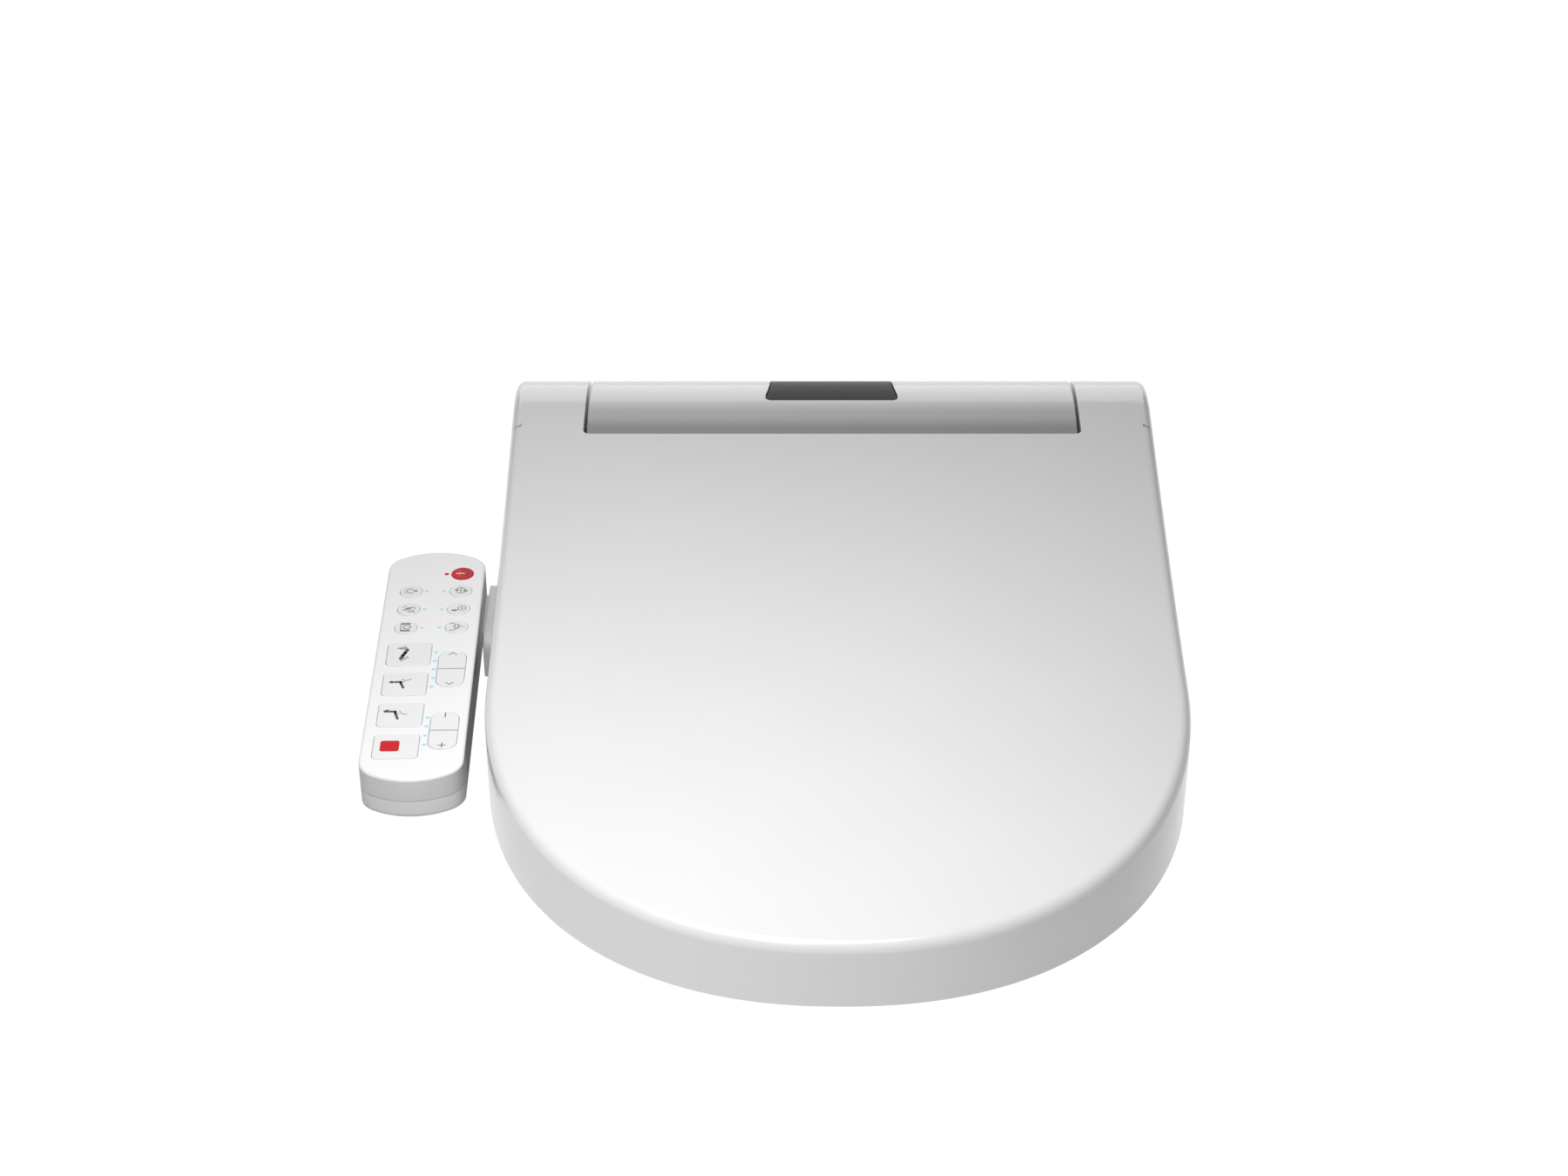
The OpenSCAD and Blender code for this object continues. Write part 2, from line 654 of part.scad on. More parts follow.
heater_x = -104;
heater_y = -4;
heater_len = 74;
heater_r = 22;
heater_z = deck_z + heater_r + 2;
foot_span = 48;
spout_r = 4;
module water_heater() color("lightgray") {
    translate([heater_x, heater_y, heater_z]) rotate([0, 90, 0])
        cylinder(r = heater_r, h = heater_len, center = true);
    for (s = [-1, 1]) translate([heater_x + s * foot_span / 2, heater_y, 0])
        box(-4, 4, -14, 14, deck_z, deck_z + 10);
    translate([heater_x, heater_y - heater_r - 3, heater_z]) rotate([-90, 0, 0])
        cylinder(r = spout_r, h = 8);
}

// Water inlet and cord gland: a drawing along +Y through the rear wall.
inlet_x = 122;
inlet_z = 24;
gland_x = -122;
module backward(x, y) {
    translate([x, y, inlet_z]) rotate([-90, 0, 0]) children();
}

valve_hw = 14;
valve_front = -8;
valve_back = 34;
valve_top = 33;
coil_r = 8;
coil_h = 12;
fitting_y = 44;
module inlet_valve() color("navajowhite") difference() {
    union() {
        box(inlet_x - valve_hw, inlet_x + valve_hw, valve_front, valve_back, deck_z, valve_top);
        translate([inlet_x, 4, valve_top]) cylinder(r = coil_r, h = coil_h);
        backward(inlet_x, valve_back) cylinder(r = coil_r, h = fitting_y - valve_back);
    }
    backward(inlet_x, 20) cylinder(r = 5, h = 30);
}

fitting_r = 9;
fitting_bore_r = 6;
nut_r = 13;
nut_t = 3;
module inlet_fitting() color("silver") difference() {
    union() {
        backward(inlet_x, fitting_y) cylinder(r = fitting_r, h = rear_y - fitting_y + 1);
        backward(inlet_x, rear_y) cylinder(r = nut_r, h = nut_t, $fn = 6);
        backward(inlet_x, rear_y + nut_t) cylinder(r = inlet_r, h = inlet_len);
    }
    backward(inlet_x, fitting_y - 4) cylinder(r = fitting_bore_r, h = 60);
}
strainer_len = 16;
module inlet_strainer() color("dimgray") difference() {
    backward(inlet_x, rear_y - 4) cylinder(r = fitting_bore_r - 0.1, h = strainer_len);
    backward(inlet_x, rear_y - 2) cylinder(r = fitting_bore_r - 1.6, h = strainer_len);
}

gland_r = 6;
gland_rim_r = 8.5;
gland_rim_t = 3;
gland_bore_r = 3.8;
module cable_gland() color("gray") difference() {
    union() {
        backward(gland_x, rear_y - hub_wall - gland_rim_t) cylinder(r = gland_rim_r, h = gland_rim_t);
        backward(gland_x, rear_y - hub_wall - 1) cylinder(r = gland_r, h = hub_wall + 2);
        backward(gland_x, rear_y) cylinder(r = gland_rim_r, h = gland_rim_t);
    }
    backward(gland_x, rear_y - 12) cylinder(r = gland_bore_r, h = 20);
}

diverter_x = -38;
diverter_y = 30;
diverter_z = 42;
diverter_r = 10;
module diverter_valve() color("ivory") {
    translate([diverter_x, diverter_y, diverter_z]) cylinder(r = diverter_r, h = 12);
    translate([diverter_x, diverter_y, diverter_z + 12]) cylinder(r = 6, h = 6);
    translate([diverter_x, diverter_y, 0]) box(-6, 6, -6, 6, deo_z + deo_h, diverter_z);
}

duct_x = 60;
duct_w = 24;
duct_h = 19;
duct_z = 13;
blower_y = 8;
blower_x = 76;
blower_r = 27;
blower_h = 24;
duct_wall = 1.5;
spindle_r = 2;
module dryer_housing() color("dimgray") {
    translate([blower_x, blower_y, deck_z]) cylinder(r = spindle_r, h = 18);
    dryer_volute();
}
module dryer_volute() difference() {
    union() {
        translate([blower_x, blower_y, deck_z]) cylinder(r = blower_r, h = blower_h + 4);
        box(duct_x - duct_w / 2, duct_x + duct_w / 2, -22, blower_y, deck_z, deck_z + blower_h + 4);
    }
    translate([blower_x, blower_y, deck_z + 2]) cylinder(r = blower_r - 2, h = blower_h);
    translate([blower_x, blower_y, deck_z + 10]) cylinder(r = 12, h = blower_h);
    box(duct_x - duct_w / 2 + duct_wall, duct_x + duct_w / 2 - duct_wall, -23, blower_y,
        duct_z + duct_wall, duct_z + duct_h - duct_wall);
}
module dryer_rotor() color("gray") translate([blower_x, blower_y, deck_z + 3.5]) {
    difference() {
        cylinder(r = blower_r - 5, h = 2);
        translate([0, 0, -cut]) cylinder(r = spindle_r + shaft_play, h = 6);
    }
    difference() {
        cylinder(r = 6, h = 14);
        translate([0, 0, -cut]) cylinder(r = spindle_r + shaft_play, h = 20);
    }
    for (i = [0:11]) rotate(i * 30) translate([14, 0, 1]) rotate(35) box(0, 8.5, -0.5, 0.5, 0, 15);
}
module dryer_duct() color("dimgray") difference() {
    box(duct_x - duct_w / 2, duct_x + duct_w / 2, -hub_front + 0.5, -22, duct_z, duct_z + duct_h);
    box(duct_x - duct_w / 2 + duct_wall, duct_x + duct_w / 2 - duct_wall, -hub_front - 1, -21,
        duct_z + duct_wall, duct_z + duct_h - duct_wall);
}

deo_x = -41;
deo_w = 26;
deo_h = 18;
deo_z = 10;
deo_wall = 1.5;
cart_front = 16;
module deodorizer_duct() color("dimgray") difference() {
    box(deo_x - deo_w / 2, deo_x + deo_w / 2, -hub_front + 0.5, rear_y - hub_wall, deo_z, deo_z + deo_h);
    box(deo_x - deo_w / 2 + deo_wall, deo_x + deo_w / 2 - deo_wall, -hub_front - 1, rear_y + 1,
        deo_z + deo_wall, deo_z + deo_h - deo_wall);
}
module fan_frame() color("gray") translate([deo_x, -2, deo_z + deo_h / 2]) difference() {
    box(-deo_w / 2 + deo_wall, deo_w / 2 - deo_wall, 0, 10, -deo_h / 2 + deo_wall, deo_h / 2 - deo_wall);
    translate([0, -cut, 0]) rotate([-90, 0, 0]) cylinder(r = 7, h = 9);
    translate([0, 5, 0]) rotate([-90, 0, 0]) cylinder(r = 1.52, h = 9);
    for (i = [0:3]) rotate([0, 45 + i * 90, 0]) translate([4.4, 5, 0]) rotate([-90, 0, 0])
        cylinder(r = 1.5, h = 9);
}
module deodorizer_fan() color("whitesmoke") translate([deo_x, -2, deo_z + deo_h / 2]) {
    translate([0, 1, 0]) rotate([-90, 0, 0]) cylinder(r = 2.6, h = 5);
    translate([0, 6, 0]) rotate([-90, 0, 0]) cylinder(r = 1.5, h = 3);
    for (i = [0:4]) rotate([0, i * 72, 0]) translate([2, 3.5, 0])
        rotate([35, 0, 0]) box(0, 4.4, -0.4, 0.4, -1.8, 1.8);
}
module filter_cartridge() color("darkslategray")
    box(deo_x - deo_w / 2 + deo_wall + 0.3, deo_x + deo_w / 2 - deo_wall - 0.3, cart_front, rear_y,
        deo_z + deo_wall + 0.3, deo_z + deo_h - deo_wall - 0.3);

board_edge = 4;
// Board that reaches just past the posts it hangs from.
module hung_board(posts, z) {
    box(posts[0][0] - board_edge, posts[3][0] + board_edge, posts[0][1] - board_edge,
        posts[3][1] + board_edge, z, z + board_t);
}
capacitor_spots = [58, 78, 100];
capacitor_r = 5;
part_h = 8;
module main_board() color("darkgreen") {
    hung_board(main_posts, main_board_z);
    for (x = capacitor_spots) translate([x, 0, main_board_z + board_t]) cylinder(r = capacitor_r, h = part_h);
}
module power_board() color("darkgreen") {
    hung_board(power_posts, power_board_z);
    // transformer
    translate([-117, -4, power_board_z + board_t]) box(-13, 13, -12, 12, 0, part_h);
}
module window_board() color("darkgreen")
    on_window_board() box(window_posts[0] - board_edge, window_posts[1] + board_edge,
        -window_board_d / 2, window_board_d / 2, 0, board_t);

module case_screws() color("silver")
    for (p = concat(tray_screws, arm_screws)) translate([p[0], p[1], 0]) {
        translate([0, 0, screw_head_z]) cylinder(r = screw_r, h = screw_len);
        translate([0, 0, 0.8]) cylinder(r = screw_head_r, h = screw_head_z - 0.8);
    }

// ---------- bowl fixing ----------

module plate_slot(x) {
    both = slot_len / 2 - bolt_r;
    for (s = [-1, 1]) translate([x + s * both, 0, -cut]) cylinder(r = bolt_r, h = 20);
    box(x - both, x + both, -bolt_r, bolt_r, -cut, 20);
}
module mounting_plate() color("gainsboro") difference() {
    box(-plate_w / 2, plate_w / 2, -plate_d / 2, plate_d / 2, gasket_t, plate_t);
    for (s = [-1, 1]) plate_slot(s * bolt_span / 2);
    box(plate_w / 2 - latch_nose - 1, plate_w / 2 + cut, -nose_hw, nose_hw, 0, 20);
}
module plate_gasket() color("gray") difference() {
    for (s = [-1, 1])
        box(s * bolt_span / 2 - slot_len / 2 - 6, s * bolt_span / 2 + slot_len / 2 + 6, -16, 16, 0, gasket_t);
    for (s = [-1, 1]) plate_slot(s * bolt_span / 2);
}
// Sideways latch whose nose sits in the notch of the mounting plate.
latch_travel = 5.5;
latch_nose = 5;
latch_play = 0.3;
latch_proud = 3;
nose_hw = 4;
module release_latch() color("whitesmoke") {
    box(plate_w / 2 - latch_nose, plate_w / 2 + latch_travel + 1, -nose_hw + latch_play, nose_hw - latch_play,
        latch_z, recess_z - latch_play);
    box(plate_w / 2 + latch_travel + 1, shoulder_w / 2 + latch_proud, -latch_hw, latch_hw,
        latch_z, recess_z - latch_play);
}

// ---------- control panel ----------

panel_base_z = panel_z - panel_t;
split_z = panel_z - panel_top_h;
panel_hw = panel_w / 2;
end_c = panel_len / 2 - panel_end_r;
corner_y = end_c + sqrt(pow(panel_end_r - panel_corner_r, 2) - pow(panel_hw - panel_corner_r, 2));
corner_a = atan2(panel_hw - panel_corner_r, corner_y - end_c);

// Quarter of the panel's outline, from the middle of its end to its long side.
function panel_quarter(s) = concat(
    [for (i = [0:6]) let (a = corner_a * i / 6)
        [(panel_end_r - s) * sin(a), end_c + (panel_end_r - s) * cos(a)]],
    [for (i = [1:8]) let (a = corner_a + (90 - corner_a) * i / 8)
        [panel_hw - panel_corner_r + (panel_corner_r - s) * sin(a),
         corner_y + (panel_corner_r - s) * cos(a)]]);
module panel_plan(s) {
    q = panel_quarter(s);
    n = len(q);
    polygon(concat(q,
        [for (i = [n - 1:-1:0]) [q[i][0], -q[i][1]]],
        [for (i = [1:n - 1]) [-q[i][0], -q[i][1]]],
        [for (i = [n - 1:-1:1]) [-q[i][0], q[i][1]]]));
}

module at_panel() {
    translate([panel_x, panel_y, 0]) rotate(panel_toe) children();
}

// Key places, from the panel's middle.
left_col = -13.2;
right_col = 15.6;
round_top = 69;
power_spot = [right_col - 0.2, round_top + 18];
round_spots = [for (i = [0:2]) round_top - i * round_pitch];
bar_col = -9.2;
bar_top = 5.2;
bar_spots = [for (i = [0:3]) bar_top - i * bar_key_pitch];
rocker_col = 15.6;
rocker_spots = [-9.6, -67.6];
dot_pitch = 8.3;

face_t = 2;
flange = 1;
key_floor = panel_z - face_t - flange - 0.05;
rocker_floor = panel_z - 4.2;
rocker_pin_r = 1;
rocker_axis_z = panel_z - 3.4;
panel_board_z = panel_z - 7;
stem_r = 2;

module bar_plan(w, h, r) {
    for (sx = [-1, 1], sy = [-1, 1]) translate([sx * (w / 2 - r), sy * (h / 2 - r)]) circle(r = r, $fn = 32);
    square([w, h - 2 * r], center = true);
    square([w - 2 * r, h], center = true);
}
bar_corner = 2.6;
rocker_corner = 6.4;

module key_body(x, y) {
    at_panel() translate([x, y, key_floor]) {
        linear_extrude(panel_z + key_proud - key_floor) children(0);
        linear_extrude(flange) children(1);
    }
    // stem that stops on the board
    at_panel() translate([x, y, panel_board_z + board_t + key_travel])
        cylinder(r = stem_r, h = key_floor - panel_board_z - board_t - key_travel + eps);
}
module round_key(x, y) {
    key_body(x, y) {
        circle(r = key_r);
        circle(r = key_r + flange);
    }
}
module bar_key(i) {
    key_body(bar_col, bar_spots[i]) {
        bar_plan(bar_key_w, bar_key_h, bar_corner);
        bar_plan(bar_key_w + 2 * flange, bar_key_h + 2 * flange, bar_corner + flange);
    }
}
module rocker(i) {
    at_panel() translate([rocker_col, rocker_spots[i], 0]) {
        translate([0, 0, rocker_floor]) linear_extrude(panel_z + key_proud - rocker_floor)
            bar_plan(rocker_w, rocker_h, rocker_corner);
        translate([0, 0, rocker_axis_z]) rotate([0, 90, 0])
            cylinder(r = rocker_pin_r, h = rocker_w + 3.2, center = true);
    }
}
module power_key() color("crimson") round_key(power_spot[0], power_spot[1]);
module light_key() color("whitesmoke") round_key(left_col, round_spots[0]);
module clean_key() color("whitesmoke") round_key(left_col, round_spots[1]);
module seat_temp_key() color("whitesmoke") round_key(left_col, round_spots[2]);
module deodorizer_key() color("whitesmoke") round_key(right_col, round_spots[0]);
module eco_key() color("whitesmoke") round_key(right_col, round_spots[1]);
module water_temp_key() color("whitesmoke") round_key(right_col, round_spots[2]);
module dry_key() color("whitesmoke") bar_key(0);
module rear_wash_key() color("whitesmoke") bar_key(1);
module front_wash_key() color("whitesmoke") bar_key(2);
module stop_key() color("whitesmoke") bar_key(3);
module position_rocker() color("whitesmoke") rocker(0);
module strength_rocker() color("whitesmoke") rocker(1);

dot_col = rocker_col - rocker_w / 2 - 1.9;
function dots(i, n) = [for (k = [0:n - 1]) [dot_col, rocker_spots[i] + ((n - 1) / 2 - k) * dot_pitch]];
blue_spots = concat(
    [for (y = round_spots) each [[dot_col - 10, y], [dot_col, y]]],
    dots(0, 5), dots(1, 4));
red_spot = [power_spot[0] - 9.2, power_spot[1]];

module led_at(p, r, z0, z1) {
    translate([p[0], p[1], z0]) cylinder(r = r, h = z1 - z0, $fn = 24);
}
module blue_lights() color("deepskyblue") at_panel()
    for (p = blue_spots) led_at(p, led_r, panel_z - face_t, panel_z + 0.05);
module red_light() color("red") at_panel()
    led_at(red_spot, led_r + 0.2, panel_z - face_t, panel_z + 0.05);

boss_spots = [[0, 92], [-22, 20.5], [22, 20.5], [5, -98]];
boss_r = 3;
boss_tip_r = 2;
panel_screw_r = 1.3;
panel_head_r = 2.5;

module panel_cover() color("white") difference() {
    union() {
        difference() {
            at_panel() union() {
                translate([0, 0, split_z]) linear_extrude(panel_top_h - 1) panel_plan(0);
                translate([0, 0, panel_z - 1 - eps]) linear_extrude(1 + eps) panel_plan(1);
            }
            at_panel() translate([0, 0, split_z - cut])
                linear_extrude(panel_top_h - face_t + cut) panel_plan(panel_wall);
        }
        // saddles that carry the rocker pins
        at_panel() for (y = rocker_spots, s = [-1, 1])
            translate([rocker_col + s * (rocker_w / 2 + 1.1), y, 0])
                box(-0.6, 0.6, -2.4, 2.4, rocker_axis_z - 2, panel_z - face_t + eps);
        // bosses, stepped where the board rests against them
        at_panel() for (p = boss_spots) {
            translate([p[0], p[1], split_z + 1]) cylinder(r = boss_tip_r, h = panel_top_h - face_t - 1 + eps);
            translate([p[0], p[1], panel_board_z + board_t])
                cylinder(r = boss_r, h = panel_z - face_t - panel_board_z - board_t + eps);
        }
    }
    at_panel() {
        for (p = concat([power_spot], [for (x = [left_col, right_col], y = round_spots) [x, y]]))
            translate([p[0], p[1], panel_z - face_t - eps]) cylinder(r = key_r + key_gap, h = 9);
        for (y = bar_spots) translate([bar_col, y, panel_z - face_t - eps]) linear_extrude(9)
            bar_plan(bar_key_w + 2 * key_gap, bar_key_h + 2 * key_gap, bar_corner + key_gap);
        for (y = rocker_spots) {
            translate([rocker_col, y, panel_z - face_t - eps]) linear_extrude(9)
                bar_plan(rocker_w + 2 * key_gap, rocker_h + 3 * key_gap, rocker_corner + key_gap);
            translate([rocker_col, y, rocker_axis_z]) rotate([0, 90, 0])
                cylinder(r = rocker_pin_r + 0.05, h = rocker_w + 4, center = true);
        }
        for (p = blue_spots) led_at(p, led_r, panel_z - face_t - 1, panel_z + 1);
        led_at(red_spot, led_r + 0.2, panel_z - face_t - 1, panel_z + 1);
        for (p = boss_spots) translate([p[0], p[1], split_z]) cylinder(r = panel_screw_r, h = 9);
    }
}

module panel_case() color("white") difference() {
    union() {
        at_panel() difference() {
            union() {
                translate([0, 0, panel_base_z + 1]) linear_extrude(panel_t - panel_top_h - 1.3) panel_plan(0);
                translate([0, 0, panel_base_z]) linear_extrude(1 + eps) panel_plan(1);
            }
            translate([0, 0, panel_base_z + panel_wall]) linear_extrude(40) panel_plan(panel_wall);
        }
        at_panel() {
            translate([0, 0, split_z - 1.5]) linear_extrude(1.5) difference() {
                panel_plan(panel_wall / 2);
                panel_plan(panel_wall);
            }
            for (p = boss_spots)
                translate([p[0], p[1], panel_base_z])
                    cylinder(r = boss_r + 0.4, h = split_z + 1 - panel_base_z);
        }
    }
    at_panel() for (p = boss_spots) {
        translate([p[0], p[1], panel_base_z - cut]) cylinder(r = panel_screw_r, h = 40);
        translate([p[0], p[1], panel_base_z - cut]) cylinder(r = panel_head_r + 0.1, h = 4);
    }
    // opening for the arm's tongue
    box(arm_out - 12, arm_out + 9, arm_front + tongue_inset - 0.2, arm_back - tongue_inset + 0.2,
        tongue_z - 0.2, tongue_z + tongue_t + 0.2);
}
module panel_screws() color("silver") at_panel() for (p = boss_spots) {
    translate([p[0], p[1], panel_base_z + 3]) cylinder(r = panel_screw_r, h = 16);
    translate([p[0], p[1], panel_base_z + 1]) cylinder(r = panel_head_r, h = 2);
}
module panel_board() color("darkgreen") at_panel() difference() {
    translate([0, 0, panel_board_z]) linear_extrude(board_t) panel_plan(panel_wall + 2);
    for (p = boss_spots) translate([p[0], p[1], 0]) cylinder(r = boss_tip_r + 0.1, h = 60);
}

// Arm: a foot screwed under the tray's shoulder, a riser outside the skirt and a tongue
// that enters the panel's lower case.
arm_out = -203.8;
arm_in = -ear_w / 2 + 0.3;
arm_top = panel_z - 17;
arm_front = -174;
arm_back = -116;
arm_round = 10;
tongue_inset = 10;
tongue_t = 5;
tongue_z = panel_base_z + panel_wall + 0.5;
module panel_arm() color("silver") {
    // riser beside the lid, its front upper edge rounded
    translate([arm_out, 0, 0]) rotate([90, 0, 90]) linear_extrude(arm_in - arm_out) union() {
        translate([arm_front + arm_round, arm_top - arm_round]) circle(r = arm_round);
        translate([arm_front, gasket_t]) square([arm_back - arm_front, arm_top - arm_round - gasket_t]);
        translate([arm_front + arm_round, arm_top - arm_round - eps])
            square([arm_back - arm_front - arm_round, arm_round + eps]);
    }
    difference() {
        union() {
            box(arm_in - eps, -hub_w / 2, arm_front + 6, -hub_front, gasket_t, arm_foot_t);
            box(arm_tab[0], arm_tab[1], -hub_front - eps, -hub_front + arm_tab_len, gasket_t, arm_foot_t);
        }
        for (p = arm_screws) {
            translate([p[0], p[1], 0]) cylinder(r = screw_r, h = 9);
            translate([p[0], p[1], 0]) cylinder(r = screw_head_r + 0.2, h = screw_head_z);
        }
    }
    // tongue in the lower case
    box(arm_out - 8, arm_out + eps, arm_front + tongue_inset, arm_back - tongue_inset,
        tongue_z, tongue_z + tongue_t);
}

base_tray();
hub_cover();
sensor_window();
window_board();
wand_guide();
rear_motor();
front_motor();
water_heater();
inlet_valve();
inlet_fitting();
inlet_strainer();
diverter_valve();
dryer_housing();
dryer_duct();
dryer_rotor();
deodorizer_duct();
fan_frame();
deodorizer_fan();
filter_cartridge();
main_board();
power_board();
cable_gland();
hinge_shaft_left();
hinge_shaft_right();
seat_damper();
lid_damper();
case_screws();
mounting_plate();
plate_gasket();
release_latch();
panel_arm();
panel_case();
panel_cover();
panel_board();
panel_screws();
blue_lights();
red_light();
seat_shell();
seat_base();
seat_heater();
seat_bumpers();
lid_shell();
lid_bumpers();
rear_wand();
front_wand();
rear_pinion();
front_pinion();
power_key();
light_key();
clean_key();
seat_temp_key();
deodorizer_key();
eco_key();
water_temp_key();
dry_key();
rear_wash_key();
front_wash_key();
stop_key();
position_rocker();
strength_rocker();
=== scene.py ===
import json
import math
import bpy
import bmesh
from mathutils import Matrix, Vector
from mathutils.geometry import delaunay_2d_cdt

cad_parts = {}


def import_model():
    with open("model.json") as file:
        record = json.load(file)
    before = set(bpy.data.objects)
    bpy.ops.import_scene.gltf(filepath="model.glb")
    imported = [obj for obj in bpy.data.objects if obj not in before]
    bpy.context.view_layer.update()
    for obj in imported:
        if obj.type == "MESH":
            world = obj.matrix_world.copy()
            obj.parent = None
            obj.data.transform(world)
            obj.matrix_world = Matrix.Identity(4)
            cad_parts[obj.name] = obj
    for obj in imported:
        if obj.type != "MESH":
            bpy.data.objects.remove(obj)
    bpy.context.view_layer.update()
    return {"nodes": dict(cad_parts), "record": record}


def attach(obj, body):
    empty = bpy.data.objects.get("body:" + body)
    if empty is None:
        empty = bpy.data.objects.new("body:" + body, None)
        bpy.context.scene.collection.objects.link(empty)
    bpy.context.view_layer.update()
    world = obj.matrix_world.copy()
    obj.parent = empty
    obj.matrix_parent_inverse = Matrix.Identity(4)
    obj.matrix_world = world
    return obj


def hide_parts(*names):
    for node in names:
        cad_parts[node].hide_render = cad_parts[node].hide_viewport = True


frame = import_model()
MM = 0.001


# ---------- materials ----------

def material(name, color, rough=0.4, metal=0.0, coat=0.0, grain=0.0, grain_scale=900.0, mottle=0.03,
             mottle_scale=14.0, emit=None, emit_strength=0.0, rough_var=0.06, brushed=None, spec=0.5,
              sss=0.0, ior=1.45):
    m = bpy.data.materials.new(name)
    m.use_nodes = True
    t = m.node_tree
    b = t.nodes["Principled BSDF"]
    b.inputs["Metallic"].default_value = metal
    b.inputs["Specular IOR Level"].default_value = spec
    b.inputs["IOR"].default_value = ior
    if sss:
        b.inputs["Subsurface Weight"].default_value = sss
        b.inputs["Subsurface Radius"].default_value = (0.004, 0.004, 0.004)
        b.inputs["Subsurface Scale"].default_value = 0.5
    if coat:
        b.inputs["Coat Weight"].default_value = coat
        b.inputs["Coat Roughness"].default_value = 0.06
    if emit:
        b.inputs["Emission Color"].default_value = (*emit, 1)
        b.inputs["Emission Strength"].default_value = emit_strength
    where = t.nodes.new("ShaderNodeTexCoord")
    cloud = t.nodes.new("ShaderNodeTexNoise")
    cloud.inputs["Scale"].default_value = mottle_scale
    cloud.inputs["Detail"].default_value = 5
    t.links.new(where.outputs["Object"], cloud.inputs["Vector"])
    ramp = t.nodes.new("ShaderNodeMapRange")
    ramp.inputs["From Min"].default_value = 0.3
    ramp.inputs["From Max"].default_value = 0.7
    ramp.inputs["To Min"].default_value = 1 - mottle
    ramp.inputs["To Max"].default_value = 1 + mottle * 0.3
    t.links.new(cloud.outputs["Fac"], ramp.inputs["Value"])
    tint = t.nodes.new("ShaderNodeVectorMath")
    tint.operation = "SCALE"
    tint.inputs[0].default_value = color
    t.links.new(ramp.outputs["Result"], tint.inputs["Scale"])
    t.links.new(tint.outputs["Vector"], b.inputs["Base Color"])
    rr = t.nodes.new("ShaderNodeMapRange")
    rr.inputs["To Min"].default_value = max(0.02, rough - rough_var)
    rr.inputs["To Max"].default_value = min(1.0, rough + rough_var)
    fine = t.nodes.new("ShaderNodeTexNoise")
    fine.inputs["Scale"].default_value = grain_scale
    fine.inputs["Detail"].default_value = 3
    if brushed:
        stretch = t.nodes.new("ShaderNodeMapping")
        stretch.inputs["Scale"].default_value = brushed
        t.links.new(where.outputs["Object"], stretch.inputs["Vector"])
        t.links.new(stretch.outputs["Vector"], fine.inputs["Vector"])
    else:
        t.links.new(where.outputs["Object"], fine.inputs["Vector"])
    t.links.new(fine.outputs["Fac"], rr.inputs["Value"])
    t.links.new(rr.outputs["Result"], b.inputs["Roughness"])
    if grain:
        bump = t.nodes.new("ShaderNodeBump")
        bump.inputs["Strength"].default_value = grain
        bump.inputs["Distance"].default_value = 0.00006
        t.links.new(fine.outputs["Fac"], bump.inputs["Height"])
        t.links.new(bump.outputs["Normal"], b.inputs["Normal"])
    return m


